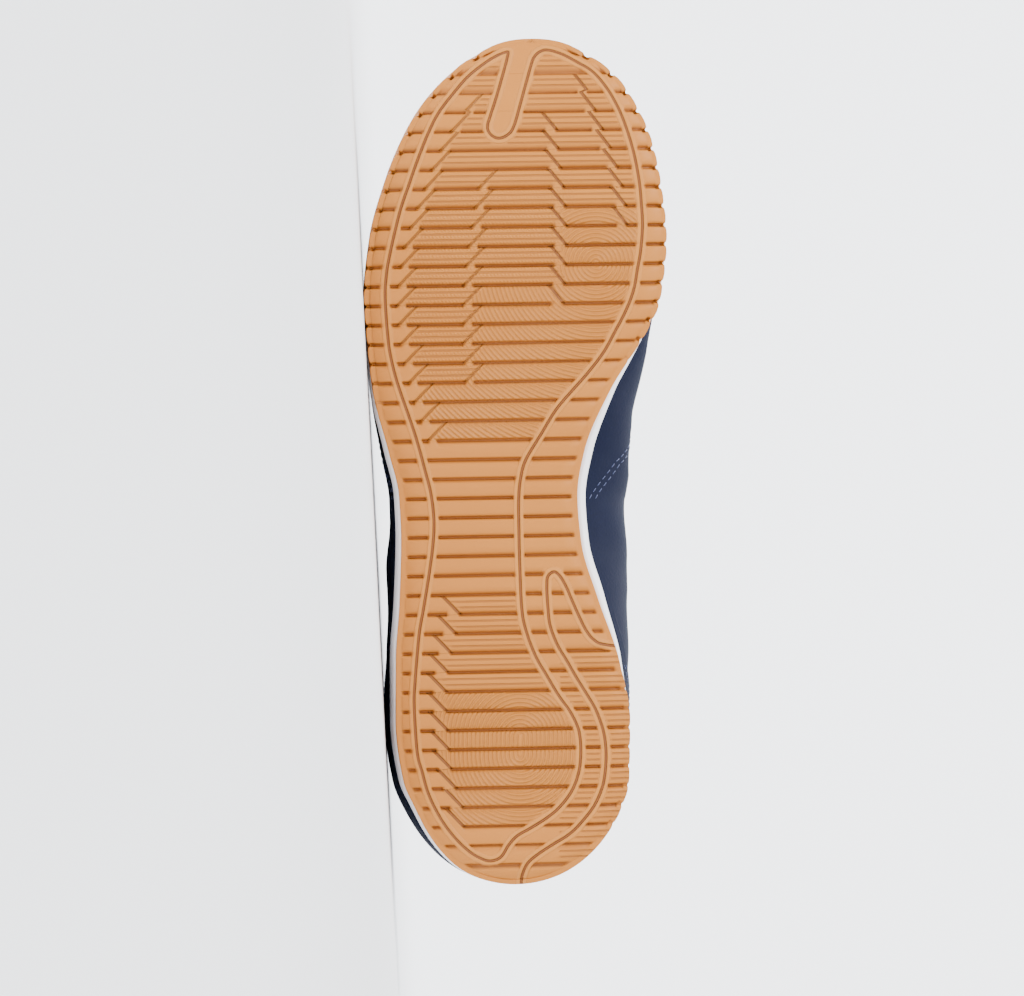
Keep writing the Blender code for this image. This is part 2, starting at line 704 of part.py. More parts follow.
def lace_strip(name, start, end, lift, guides):
    """A flat strip from one eyelet over the tongue's crown to another."""
    (a, na), (b, nb) = start, end
    length = np.linalg.norm(b - a)
    run = unit(b - a)
    crown = 0.19 * length
    shares = np.array((-0.045, 0.25, 0.5, 0.75, 1.045))
    seat = OVERLAY + LACE_ROOM + lift
    verts, rings = [], []
    for s in shares:
        normal = unit(na * (1 - s) + nb * s)
        bulge = 4 * s * (1 - s)
        centre = a + (b - a) * s + normal * (seat + crown * max(bulge, 0))
        wide = unit(np.cross(normal, run)) * LACE_WIDTH / 2
        thick = normal * LACE_THICKNESS
        rings.append(len(verts))
        verts += [centre - wide, centre + wide, centre + wide + thick, centre - wide + thick]
    faces = [(0, 1, 2, 3), tuple(rings[-1] + i for i in (3, 2, 1, 0))]
    for r, q in zip(rings, rings[1:]):
        faces += [(r + i, r + (i + 1) % 4, q + (i + 1) % 4, q + i) for i in range(4)]
    return make_object(name, verts, faces, guides)


def make_lace(collection, guides, material):
    """The lace's crossings over the tongue, joined at the eyelets."""
    pairs = eyelets()
    base = lace_strip("lace", pairs[-1][LATERAL], pairs[-1][MEDIAL], 0.0, collection)
    base.data.materials.append(material)
    for i in range(EYELET_ROWS - 1):
        crossings = ((LATERAL, MEDIAL, LACE_LAP), (MEDIAL, LATERAL, 0.15 * LACE_LAP))
        for one, other, lift in crossings:
            strip = lace_strip("strand_%d_%d" % (i, one > 0), pairs[i][one], pairs[i + 1][other], lift, guides)
            strip.hide_render = True
            strip.display_type = "WIRE"
            weld = base.modifiers.new(strip.name, "BOOLEAN")
            weld.operation = "UNION"
            weld.object = strip
    return base


def solid_points(objects):
    """Corners, volume and centre of each mesh, as the modifiers leave it."""
    graph = bpy.context.evaluated_depsgraph_get()
    cloud, volumes, centres = [], [], []
    for thing in objects:
        mesh = thing.evaluated_get(graph).to_mesh()
        mesh.calc_loop_triangles()
        co = np.array([v.co for v in mesh.vertices])
        tri = np.array([t.vertices for t in mesh.loop_triangles])
        a, b, c = (co[tri[:, i]] for i in range(3))
        part = np.einsum("ij,ij->i", a, np.cross(b, c)) / 6
        cloud.append(co)
        volumes.append(part.sum())
        centres.append(((a + b + c) / 4 * part[:, None]).sum(axis=0) / part.sum())
        thing.evaluated_get(graph).to_mesh_clear()
    return np.concatenate(cloud), np.array(volumes), np.array(centres)


def resting_facet(cloud, centre):
    """Outward normal of the flat that the shoe rests on when it is laid on its outer side. Its rounded heel lets
    it roll between a few narrow flats that hold the centre of mass about equally low. Of these it comes to rest
    on the one on which the tread faces up by about SOLE_LEAN."""
    work = bmesh.new()
    for point in cloud:
        work.verts.new(point)
    hull = bmesh.ops.convex_hull(work, input=work.verts)
    faces = [f for f in hull["geom"] if isinstance(f, bmesh.types.BMFace)]
    flats = []
    for face in faces:
        normal = face.normal.normalized()
        if normal.dot(Vector((0, LATERAL, 0))) < math.cos(math.radians(32)) or face.calc_area() < 1e-6:
            continue
        flats.append((normal.dot(face.verts[0].co - Vector(centre)), normal.copy()))
    work.free()
    lowest = min(height for height, _ in flats)
    near = [normal for height, normal in flats if height < lowest + ROLL_ROOM]
    return min(near, key=lambda normal: abs(math.asin(normal.z) - SOLE_LEAN))


def lay_down(objects, cutters):
    """Parent all pieces to an empty that puts the outer side on the floor, centred over the origin."""
    cloud, volumes, centres = solid_points(objects)
    centre = (centres * volumes[:, None]).sum(axis=0) / volumes.sum()
    down = resting_facet(cloud, centre)
    up = -down
    toe = Vector((1, 0, 0))
    toe = (toe - up * toe.dot(up)).normalized()
    instep = toe.cross(up)
    turn = Matrix((-toe, instep, up)).to_4x4()
    laid = cloud @ np.array(turn.to_3x3()).T
    low, high = laid.min(axis=0), laid.max(axis=0)
    pose = bpy.data.objects.new("pose", None)
    pose.rotation_euler = turn.to_euler()
    pose.location = (-(low[0] + high[0]) / 2, -(low[1] + high[1]) / 2, -low[2])
    for thing in objects + cutters:
        thing.parent = pose
    return pose


def finish(name, color, roughness):
    """One piece's own material."""
    material = bpy.data.materials.new(name)
    material.use_nodes = True
    shader = material.node_tree.nodes["Principled BSDF"]
    shader.inputs["Base Color"].default_value = (*color, 1.0)
    shader.inputs["Roughness"].default_value = roughness
    shader.inputs["Metallic"].default_value = 0.0
    return material


def main():
    for thing in list(bpy.data.objects):
        bpy.data.objects.remove(thing, do_unlink=True)
    parts = bpy.data.collections.new("indoor_soccer_shoe")
    guides = bpy.data.collections.new("cutters")
    for collection in (parts, guides):
        bpy.context.scene.collection.children.link(collection)
    pieces = [
        make_outsole(parts, finish("gum_rubber", (0.62, 0.36, 0.17), 0.55)),
        make_midsole(parts, finish("white_foam", (0.82, 0.80, 0.80), 0.6)),
        make_upper(parts, guides, finish("navy_leather", (0.025, 0.035, 0.09), 0.5)),
        make_tongue(parts, finish("navy_textile", (0.02, 0.03, 0.08), 0.8)),
        make_insole(parts, finish("grey_sockliner", (0.12, 0.12, 0.14), 0.9)),
        make_lace(parts, guides, finish("white_lace", (0.75, 0.75, 0.78), 0.8)),
    ]
    bpy.context.view_layer.update()
    pose = lay_down(pieces, list(guides.objects))
    parts.objects.link(pose)
    bpy.context.view_layer.update()


if __name__ == "__main__":
    main()
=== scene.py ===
"""Looks of the indoor court shoe: gum sole, foam, upper, collar, tongue, sockliner, lace, thread and stage.

Every piece is drawn in the shoe's own frame, in metres: X from heel to toe, Y towards the inner side, Z up from
the tread. The record's two mounts under the tread say how that frame lies.
"""
import json
import math
from collections import namedtuple
from functools import partial

import bmesh
import bpy
import numpy as np
from bpy.props import FloatProperty, FloatVectorProperty, IntProperty, PointerProperty
from mathutils import Matrix


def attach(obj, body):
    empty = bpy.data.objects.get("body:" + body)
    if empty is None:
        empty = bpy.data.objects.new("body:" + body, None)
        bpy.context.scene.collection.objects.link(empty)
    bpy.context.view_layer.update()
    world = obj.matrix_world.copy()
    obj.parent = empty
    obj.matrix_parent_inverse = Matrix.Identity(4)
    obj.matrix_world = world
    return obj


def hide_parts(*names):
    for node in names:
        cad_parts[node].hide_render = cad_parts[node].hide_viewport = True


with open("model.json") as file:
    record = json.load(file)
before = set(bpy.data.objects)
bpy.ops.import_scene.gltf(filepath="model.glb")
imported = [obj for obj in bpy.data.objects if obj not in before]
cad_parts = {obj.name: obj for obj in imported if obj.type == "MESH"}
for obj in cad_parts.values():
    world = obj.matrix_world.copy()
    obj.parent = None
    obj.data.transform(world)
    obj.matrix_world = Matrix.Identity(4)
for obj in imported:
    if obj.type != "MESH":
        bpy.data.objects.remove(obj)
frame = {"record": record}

bl_info = {
    "name": "Indoor court shoe",
    "version": (1, 0, 0),
    "blender": (4, 5, 0),
    "location": "View3D > Sidebar > Shoe",
    "description": "Surfaces, materials and stage of an indoor court shoe",
    "category": "Add Mesh",
}

MM = 0.001
LATERAL, MEDIAL = -1.0, 1.0

# Sole
LENGTH = 292 * MM
BALL_WIDTH = 104 * MM
WAIST_WIDTH = 61 * MM
HEEL_WIDTH = 81 * MM
TOE_SPRING = 12 * MM
ARCH_LIFT = 1.5 * MM
HEEL_BEVEL = 2.5 * MM
TREAD = 5 * MM
GUM_WALL = 9 * MM
GUM_SIDE = 2.5 * MM
GUM_EDGE = 1.6 * MM
MIDSOLE_FLARE = 3.8 * MM
HEEL_STACK = 23 * MM
FORE_STACK = 14.5 * MM

# Bars across the tread
GROOVE_PITCH = 6.64 * MM
GROOVE_COUNT = 43
GROOVE_DEPTH = 1.8 * MM
GROOVE_NOTCH = 1.0 * MM
GROOVE_SKEW = 0.018
FIRST_GROOVE = 6.9 * MM
FOREFOOT_BAR = FIRST_GROOVE + 27.5 * GROOVE_PITCH
BALL_MIDDLE = 200 * MM

# Upper
WALL = 2.2 * MM
COLLAR_PAD = 26 * MM
OVERLAY = 0.7 * MM
FEATHER_INSET = 1.2 * MM
TOE_INSET = 4.4 * MM
HEEL_TAB = 93 * MM
COLLAR_HEIGHT = 73 * MM
COLLAR_WIDTH = 72 * MM
INSTEP_HEIGHT = 90 * MM
VAMP_HEIGHT = 59 * MM
VAMP_POINT = 201 * MM
THROAT_TOP = 124 * MM
THROAT_WIDTH = 27 * MM
EYESTAY_WIDTH = 19 * MM
TOE_CAP = 60 * MM
COUNTER = 38 * MM
EYELET_ROWS = 6
EYELET_BORE = 4.4 * MM
EYELET_INSET = 9 * MM

# Tongue, sockliner and lace
TONGUE_WALL = 4.5 * MM
TONGUE_TUCK = 13 * MM
TONGUE_RISE = 31 * MM
TONGUE_WIDTH = 54 * MM
TONGUE_CROWN = 3 * MM
TONGUE_ROOM = 0.9 * MM
TONGUE_SINK = 3.5 * MM
INSOLE = 4 * MM
INSOLE_ROOM = 0.9 * MM
LACE_WIDTH = 5 * MM
LACE_ROOM = 1.2 * MM
GAP = 0.3 * MM

# The tread's outline: each side's reach as a share of the width that it follows
Outline = namedtuple("Outline", "along width lateral medial")
OUTLINE = (
    Outline(0.000, HEEL_WIDTH, 0.000, 0.000),
    Outline(0.017, HEEL_WIDTH, 0.225, 0.228),
    Outline(0.053, HEEL_WIDTH, 0.352, 0.373),
    Outline(0.089, HEEL_WIDTH, 0.423, 0.449),
    Outline(0.123, HEEL_WIDTH, 0.475, 0.484),
    Outline(0.195, HEEL_WIDTH, 0.507, 0.488),
    Outline(0.264, HEEL_WIDTH, 0.507, 0.441),
    Outline(0.336, WAIST_WIDTH, 0.652, 0.467),
    Outline(0.404, WAIST_WIDTH, 0.643, 0.372),
    Outline(0.459, WAIST_WIDTH, 0.656, 0.351),
    Outline(0.510, WAIST_WIDTH, 0.715, 0.389),
    Outline(0.582, BALL_WIDTH, 0.472, 0.313),
    Outline(0.654, BALL_WIDTH, 0.495, 0.439),
    Outline(0.688, BALL_WIDTH, 0.502, 0.480),
    Outline(0.760, BALL_WIDTH, 0.483, 0.502),
    Outline(0.829, BALL_WIDTH, 0.430, 0.483),
    Outline(0.884, BALL_WIDTH, 0.365, 0.449),
    Outline(0.918, BALL_WIDTH, 0.308, 0.407),
    Outline(0.952, BALL_WIDTH, 0.225, 0.346),
    Outline(0.988, BALL_WIDTH, 0.080, 0.205),
    Outline(1.000, BALL_WIDTH, -0.0625, 0.0625),
)

# The sole's side: the gum wall's rise, and how far the foam stands past the tread on each side
Side = namedtuple("Side", "along wall lateral medial")
SIDES = (
    Side(0.00, 1.00, 0.00, 0.00),
    Side(0.06, 1.00, 0.10, 0.00),
    Side(0.20, 0.95, 0.30, 0.00),
    Side(0.28, 0.72, 0.32, 0.60),
    Side(0.36, 0.62, 0.30, 1.00),
    Side(0.50, 0.62, 0.25, 1.00),
    Side(0.60, 0.80, 0.05, 0.45),
    Side(0.68, 0.95, -0.25, -0.25),
    Side(0.80, 1.00, -0.25, -0.25),
    Side(0.88, 1.35, -0.25, -0.25),
    Side(0.95, 1.85, -0.25, -0.25),
    Side(1.00, 2.00, -0.25, -0.25),
)

# The upper's top edge above each point of the sole's edge
Rim = namedtuple("Rim", "along forward out height")
RIM = (
    Rim(0.000, 0.031 * LENGTH, 0.00 * COLLAR_WIDTH, 1.00 * HEEL_TAB),
    Rim(0.030, 0.041 * LENGTH, 0.15 * COLLAR_WIDTH, 0.985 * HEEL_TAB),
    Rim(0.090, 0.085 * LENGTH, 0.33 * COLLAR_WIDTH, 0.905 * HEEL_TAB),
    Rim(0.190, 0.185 * LENGTH, 0.47 * COLLAR_WIDTH, 1.02 * COLLAR_HEIGHT),
    Rim(0.300, 0.295 * LENGTH, 0.49 * COLLAR_WIDTH, 1.00 * COLLAR_HEIGHT),
    Rim(0.370, 0.360 * LENGTH, 0.42 * COLLAR_WIDTH, 0.90 * INSTEP_HEIGHT),
    Rim(0.430, 1.00 * THROAT_TOP, 0.70 * THROAT_WIDTH, 1.00 * INSTEP_HEIGHT),
    Rim(0.510, 1.12 * THROAT_TOP, 0.56 * THROAT_WIDTH, 0.945 * INSTEP_HEIGHT),
    Rim(0.616, 0.800 * VAMP_POINT, 0.50 * THROAT_WIDTH, 0.850 * INSTEP_HEIGHT),
    Rim(0.726, 0.890 * VAMP_POINT, 0.46 * THROAT_WIDTH, 1.145 * VAMP_HEIGHT),
    Rim(0.829, 0.948 * VAMP_POINT, 0.39 * THROAT_WIDTH, 1.055 * VAMP_HEIGHT),
    Rim(0.918, 0.982 * VAMP_POINT, 0.27 * THROAT_WIDTH, 1.015 * VAMP_HEIGHT),
    Rim(0.976, 0.997 * VAMP_POINT, 0.13 * THROAT_WIDTH, 1.002 * VAMP_HEIGHT),
    Rim(1.000, 1.000 * VAMP_POINT, 0.00 * THROAT_WIDTH, 1.000 * VAMP_HEIGHT),
)

# The last's form: how each wall line leaves the sole's edge and comes to the top edge
Form = namedtuple("Form", "along lateral_foot medial_foot rise lateral_top medial_top drop")
FORM = (
    Form(0.000, 0.058, 0.058, 0.22, 0.045, 0.045, 0.27),
    Form(0.090, 0.055, 0.055, 0.20, 0.085, 0.085, 0.26),
    Form(0.195, 0.035, 0.055, 0.17, 0.075, 0.085, 0.24),
    Form(0.300, 0.035, 0.120, 0.17, 0.062, 0.092, 0.24),
    Form(0.404, 0.062, 0.235, 0.19, 0.165, 0.200, 0.26),
    Form(0.510, 0.045, 0.275, 0.20, 0.245, 0.285, 0.22),
    Form(0.616, 0.030, 0.170, 0.18, 0.255, 0.285, 0.14),
    Form(0.726, 0.020, 0.030, 0.15, 0.250, 0.270, 0.07),
    Form(0.829, 0.012, 0.012, 0.16, 0.240, 0.260, 0.03),
    Form(0.918, 0.004, 0.004, 0.19, 0.330, 0.330, 0.02),
    Form(1.000, 0.000, 0.000, 0.21, 0.450, 0.450, 0.01),
)

# The raised panel at the foot of the wall: toe cap in front, counter behind
Panel = namedtuple("Panel", "along reach raised")
PANELS = (
    Panel(0.00, 1.00 * COUNTER, 1.0),
    Panel(0.10, 0.90 * COUNTER, 1.0),
    Panel(0.20, 0.55 * COUNTER, 1.0),
    Panel(0.27, 0.20 * COUNTER, 1.0),
    Panel(0.32, 0.16 * COUNTER, 0.0),
    Panel(0.72, 0.10 * TOE_CAP, 0.0),
    Panel(0.77, 0.12 * TOE_CAP, 1.0),
    Panel(0.85, 0.40 * TOE_CAP, 1.0),
    Panel(0.93, 0.78 * TOE_CAP, 1.0),
    Panel(1.00, 1.00 * TOE_CAP, 1.0),
)

# The tongue above the throat
Top = namedtuple("Top", "rise half crown")
TONGUE_TOP = (
    Top(0.22 * TONGUE_RISE, 0.33 * TONGUE_WIDTH, 2.4 * TONGUE_CROWN),
    Top(0.52 * TONGUE_RISE, 0.42 * TONGUE_WIDTH, 2.4 * TONGUE_CROWN),
    Top(0.86 * TONGUE_RISE, 0.46 * TONGUE_WIDTH, 2.2 * TONGUE_CROWN),
    Top(1.00 * TONGUE_RISE, 0.36 * TONGUE_WIDTH, 1.5 * TONGUE_CROWN),
)

# The tread's drawn lines, charted with the toe up: right runs towards the inner side and down towards the
# heel. One unit of the chart is CHART_UNIT, and its middle and heel lie at CHART_MIDDLE and CHART_HEEL.
CHART_UNIT = 0.3435 * MM
CHART_MIDDLE = 516
CHART_HEEL = 885
Spot = namedtuple("Spot", "right down")
LONG_LINE = (
    Spot(504, 75), Spot(508, 61), Spot(510, 53), Spot(511, 50), Spot(509, 50), Spot(503, 52),
    Spot(489, 60), Spot(470, 75), Spot(455, 92), Spot(439, 113), Spot(427, 137), Spot(416, 165),
    Spot(409, 185), Spot(401, 208), Spot(395, 231), Spot(389, 258), Spot(386, 277), Spot(385, 300),
    Spot(388, 341), Spot(392, 364), Spot(399, 389), Spot(415, 435), Spot(426, 474), Spot(431, 494),
    Spot(434, 520), Spot(433, 545), Spot(429, 575), Spot(423, 611), Spot(419, 634), Spot(415, 680),
    Spot(414, 706), Spot(417, 752), Spot(422, 772), Spot(428, 793), Spot(438, 814), Spot(450, 832),
    Spot(465, 848), Spot(478, 857), Spot(490, 861), Spot(501, 857), Spot(508, 846), Spot(517, 836),
    Spot(531, 828), Spot(547, 818), Spot(560, 807), Spot(572, 791), Spot(579, 772), Spot(581, 752),
    Spot(579, 731), Spot(571, 713), Spot(559, 696), Spot(547, 676), Spot(536, 657), Spot(527, 634),
    Spot(522, 611), Spot(520, 566), Spot(519, 520), Spot(519, 497), Spot(521, 478), Spot(526, 460),
    Spot(542, 433), Spot(556, 410), Spot(572, 391), Spot(588, 373), Spot(604, 352), Spot(615, 332),
    Spot(626, 311), Spot(634, 290), Spot(638, 268), Spot(641, 251), Spot(643, 226), Spot(642, 204),
    Spot(640, 181), Spot(635, 153), Spot(628, 128), Spot(620, 107), Spot(609, 87), Spot(595, 70),
    Spot(579, 60), Spot(564, 52), Spot(550, 48), Spot(542, 50), Spot(536, 56), Spot(532, 67),
    Spot(523, 98), Spot(515, 125), Spot(509, 134), Spot(500, 138), Spot(492, 135), Spot(488, 127),
    Spot(491, 116), Spot(497, 98),
)
HEEL_LINE = (
    Spot(522, 905), Spot(522, 882), Spot(524, 871), Spot(529, 862), Spot(540, 853), Spot(554, 844),
    Spot(570, 834), Spot(583, 821), Spot(595, 805), Spot(603, 786), Spot(606, 766), Spot(606, 747),
    Spot(603, 729), Spot(596, 710), Spot(588, 696), Spot(578, 680), Spot(567, 661), Spot(557, 644),
    Spot(550, 625), Spot(548, 607), Spot(547, 589), Spot(548, 577), Spot(554, 572), Spot(560, 576),
    Spot(566, 586), Spot(572, 600), Spot(579, 616), Spot(586, 630), Spot(594, 640), Spot(606, 645),
    Spot(640, 648),
)
PLATE_TOP = Spot(522, 40)
PLATE_FOOT = Spot(501, 126)
PLATE_HALF = 15 * CHART_UNIT

# The slanted cuts, one in each bar between two places: where each leaves the bar's upper groove, and which way
# it runs on its way down
Slant = namedtuple("Slant", "spots lean last gap")
SLANTS = (
    Slant((Spot(482, 91), Spot(459, 126), Spot(442, 165), Spot(428, 202), Spot(417, 241), Spot(413, 283),
           Spot(416, 320), Spot(424, 359), Spot(436, 399), Spot(444, 418)), -0.95, 430, 3.4 * MM),
    Slant((Spot(496, 162), Spot(489, 201), Spot(483, 238), Spot(479, 281), Spot(479, 318), Spot(481, 358)),
          -0.95, 368, 3.4 * MM),
    Slant((Spot(544, 108), Spot(547, 143), Spot(552, 182), Spot(553, 220), Spot(552, 257), Spot(550, 277)),
          0.80, 288, 4.4 * MM),
    Slant((Spot(577, 72), Spot(590, 108), Spot(604, 144), Spot(613, 182), Spot(615, 200)), 0.75, 210, 4.0 * MM),
    Slant((Spot(444, 597), Spot(435, 634), Spot(430, 674), Spot(432, 714), Spot(436, 752), Spot(448, 791)),
          0.95, 802, 4.8 * MM),
)
SLANT_STOP = 0.8 * MM

# Marks that mean nowhere near: off a cut, and off the tread's own skin
OFF = 20 * MM
FAR = 50 * MM
EDGE_ROUND = 1.5 * MM
SCALLOP = 0.65 * MM

# Where the grooves run out through the gum's edge, as shares of its length: from a start to full on each side of
# the forefoot, and at the inner heel also back to none
OPEN_MEDIAL = (0.60, 0.66)
OPEN_LATERAL = (0.54, 0.62)
OPEN_HEEL = (0.05, 0.08)
SHUT_HEEL = (0.22, 0.27)
HEEL_OPENING = 0.45

# Fields of fine relief on the chart: between two heights, and between two places across
Field = namedtuple("Field", "top foot left right")
TOE_FIELD = Field(0, 95, 455, 1024)
FORE_FIELD = Field(56, 385, 0, 1024)
MIDDLE_WAVES = Field(292, 432, 0, 1024)
INNER_WAVES = Field(210, 432, 560, 1024)
OUTER_WAVES = Field(385, 440, 0, 1024)
HEEL_WAVE_FIELD = Field(688, 845, 0, 600)
WAIST_RIBS = Field(585, 690, 0, 1024)
HEEL_RIBS = Field(655, 862, 560, 1024)
HEEL_FIELD_TOP = 560
BEADS_RIGHT = 575
FORE_WAVES = Spot(596, 263)
HEEL_WAVES = Spot(520, 746)

# Soft folds in the upper's wall: where each lies, along the shoe and up the wall, how long and wide it is, how
# it leans, and how deep it goes (ridges are negative)
Fold = namedtuple("Fold", "along side up length width lean depth")
FOLDS = (
    Fold(0.735, MEDIAL, 34 * MM, 40 * MM, 7 * MM, 78, 0.9 * MM),
    Fold(0.700, MEDIAL, 30 * MM, 34 * MM, 6 * MM, 70, 0.6 * MM),
    Fold(0.718, MEDIAL, 32 * MM, 34 * MM, 5 * MM, 74, -0.4 * MM),
    Fold(0.745, LATERAL, 34 * MM, 42 * MM, 7 * MM, 80, 0.9 * MM),
    Fold(0.712, LATERAL, 28 * MM, 36 * MM, 6 * MM, 66, 0.7 * MM),
    Fold(0.728, LATERAL, 30 * MM, 34 * MM, 5 * MM, 72, -0.4 * MM),
    Fold(0.330, MEDIAL, 52 * MM, 40 * MM, 9 * MM, 30, 0.6 * MM),
    Fold(0.432, MEDIAL, 40 * MM, 60 * MM, 15 * MM, 90, -1.1 * MM),
    Fold(0.300, LATERAL, 42 * MM, 46 * MM, 10 * MM, 24, 0.8 * MM),
    Fold(0.420, LATERAL, 38 * MM, 54 * MM, 11 * MM, 12, 0.6 * MM),
)

# The seam from the sole's edge up the quarter to the eyestay: place along the shoe and share of the wall
Seam = namedtuple("Seam", "along share")
QUARTER_SEAM = (Seam(0.452, 0.04), Seam(0.480, 0.10), Seam(0.520, 0.19), Seam(0.565, 0.32), Seam(0.615, 0.52),
                Seam(0.665, 0.735))


def hex_color(text):
    """An sRGB hex colour as linear red, green and blue."""
    parts = np.array([int(text[i:i + 2], 16) / 255 for i in (1, 3, 5)])
    linear = np.where(parts <= 0.04045, parts / 12.92, ((parts + 0.055) / 1.055) ** 2.4)
    return tuple(float(c) for c in linear)


# ---------------------------------------------------------------- sizes and colours that a user would change

def length(name, text, default):
    return FloatProperty(name=name, description=text, default=default, min=0.0, unit="LENGTH", precision=5)


def color(name, text, default):
    return FloatVectorProperty(name=name, description=text, default=hex_color(default), subtype="COLOR",
                               size=3, min=0.0, max=1.0)


class TreadSizes(bpy.types.PropertyGroup):
    """Sizes of the tread's drawn lines and fine relief."""
    line_width: length("Drawn line width", "Width of the long lines around ball and heel", 0.8 * MM)
    line_depth: length("Drawn line depth", "Depth of the long lines", 0.75 * MM)
    lip_width: length("Lip width", "Width of the raised lip beside a long line", 1.35 * MM)
    lip_height: length("Lip height", "Height of the raised lip", 0.22 * MM)
    slant_width: length("Slant width", "Width of the slanted cuts", 1.3 * MM)
    slant_depth: length("Slant depth", "Depth of the slanted cuts", 1.1 * MM)
    stop: length("Groove stop", "How far the bars' grooves stop from a long line", 1.75 * MM)
    rib_width: length("Rib line width", "Width of the fine lines along a bar", 0.55 * MM)
    rib_depth: length("Rib line depth", "Depth of the fine lines along a bar", 0.30 * MM)
    bead: length("Bead pitch", "Spacing of the beads along a bar", 1.25 * MM)
    wave: length("Wave pitch", "Spacing of the fine waves", 1.45 * MM)
    relief: length("Fine relief", "Height of beads and waves", 0.2 * MM)
    across: IntProperty(name="Columns", description="Columns of the tread's grid across the shoe", default=138)


class UpperSizes(bpy.types.PropertyGroup):
    """Sizes of the upper's grain, seams and padding."""
    grain: length("Grain", "Size of one pebble of the leather's grain", 0.9 * MM)
    stitch: length("Stitch", "Length of one stitch", 2.0 * MM)
    stitch_gap: length("Stitch gap", "Gap between two stitches", 0.8 * MM)
    thread: length("Thread", "Thickness of the sewing thread", 0.34 * MM)
    seam_inset: length("Seam inset", "How far a seam runs from a panel's edge", 1.8 * MM)
    seam_rows: length("Seam rows", "Distance between a seam's two rows", 2.2 * MM)
    pad: length("Collar pad", "Thickness of the collar's padding", 3.4 * MM)
    knit: length("Knit", "Spacing of the lining's knit", 0.9 * MM)
    weave: length("Lace weave", "Spacing of the lace's braid", 0.75 * MM)


class ShoeColors(bpy.types.PropertyGroup):
    """Colours of the shoe's materials."""
    gum: color("Gum", "Gum rubber", "#BC7528")
    # Painted shade: the colour the gum takes in every groove, slanted cut, drawn line and rib line
    gum_cut_shade: color("Gum in the cuts", "Gum rubber at the foot of a cut", "#743C12")
    # Painted highlight: the paler colour the gum takes on the raised lips beside the drawn lines
    gum_lip_highlight: color("Gum lips", "Gum rubber on the raised lips", "#C9843C")
    foam: color("Foam", "Midsole foam", "#F8F7FA")
    leather: color("Upper", "Navy synthetic leather", "#10152A")
    panel: color("Panels", "Toe cap, counter and eyestay", "#12172A")
    textile: color("Collar and tongue", "Navy textile", "#1E2337")
    lining: color("Lining", "Lining and sockliner", "#2A2E3E")
    thread: color("Thread", "Light sewing thread", "#3E4870")
    lace: color("Lace", "Woven lace", "#E4E5EA")
    paper: color("Backdrop", "Seamless pale backdrop", "#FAFBFD")


# ---------------------------------------------------------------- curves and the shoe's forms

def smooth(keys, values, at, flat=False):
    """Monotone cubic through a table's rows, so nothing swings past two rows. flat levels it at both ends."""
    keys = np.asarray(keys, float)
    values = np.asarray(values, float)
    step = np.diff(keys)
    slope = np.diff(values) / step
    before, after = slope[:-1], slope[1:]
    total = before + after
    same = before * after > 0
    inner = np.where(same, 2 * before * after / np.where(same, total, 1), 0)
    ends = (0.0, 0.0) if flat else (slope[0], slope[-1])
    tangent = np.concatenate(([ends[0]], inner, [ends[1]]))
    at = np.clip(np.asarray(at, float), keys[0], keys[-1])
    i = np.clip(np.searchsorted(keys, at, side="right") - 1, 0, len(step) - 1)
    f = (at - keys[i]) / step[i]
    return (
        values[i] * (1 + 2 * f) * (1 - f) ** 2
        + tangent[i] * step[i] * f * (1 - f) ** 2
        + values[i + 1] * f * f * (3 - 2 * f)
        + tangent[i + 1] * step[i] * f * f * (f - 1)
    )


def ease(value, start, end):
    """0 before start, 1 past end, smooth between."""
    f = np.clip((np.asarray(value, float) - start) / (end - start), 0, 1)
    return f * f * (3 - 2 * f)


def unit(vectors):
    """Vectors divided by their own lengths."""
    return vectors / np.maximum(np.linalg.norm(vectors, axis=-1, keepdims=True), 1e-12)


def spline(points, count):
    """Catmull-Rom curve through points: each piece is the cubic whose slope at a point joins its neighbours."""
    points = np.asarray(points, float)
    padded = np.concatenate((2 * points[:1] - points[1:2], points, 2 * points[-1:] - points[-2:-1]))
    pieces = len(points) - 1
    s = np.linspace(0, pieces, count)
    i = np.minimum(s.astype(int), pieces - 1)
    f = (s - i)[:, None]
    a, b, c, d = (padded[i + k] for k in range(4))
    square, cube = 2 * a - 5 * b + 4 * c - d, 3 * b - a - 3 * c + d
    return 0.5 * (2 * b + (c - a) * f + square * f ** 2 + cube * f ** 3)


def turn_at(along):
    """A place along the shoe as a half turn's share, which rounds the outline at heel and toe."""
    return np.arccos(1 - 2 * np.clip(along, 0, 1)) / np.pi


def along_at(turn):
    """The place along the shoe at a turn: half of one less the turn's cosine."""
    return (1 - np.cos(np.pi * np.asarray(turn, float))) / 2


def column(table, value, turn, flat=False):
    """One column of a table, read at each turn. value gives a row's length."""
    keys = turn_at(np.array([row.along for row in table]))
    return smooth(keys, [value(row) for row in table], turn, flat)


def sided(table, name, turn, side, scale, flat=False):
    """A column that the table holds for each side of the shoe."""
    outer = column(table, lambda r: getattr(r, "lateral" + name) * scale(r), turn, flat)
    inner = column(table, lambda r: getattr(r, "medial" + name) * scale(r), turn, flat)
    return np.where(np.asarray(side) > 0, inner, outer)


def outline(turn, side):
    """The tread's edge, as X and Y."""
    y = sided(OUTLINE, "", turn, side, lambda r: r.width)
    return LENGTH * along_at(turn), np.asarray(side) * y


def outward(turn, side):
    """The outline's unit normal: its step ahead less its step behind, turned a quarter."""
    step = 1e-4
    low = np.clip(np.asarray(turn, float) - step, 0, 1)
    high = np.clip(np.asarray(turn, float) + step, 0, 1)
    x0, y0 = outline(low, side)
    x1, y1 = outline(high, side)
    span = np.hypot(x1 - x0, y1 - y0)
    return -side * (y1 - y0) / span, side * (x1 - x0) / span


def edge(turn, side, inset):
    """The outline moved inwards by inset, square to itself."""
    x, y = outline(turn, side)
    nx, ny = outward(turn, side)
    return x - nx * inset, y - ny * inset


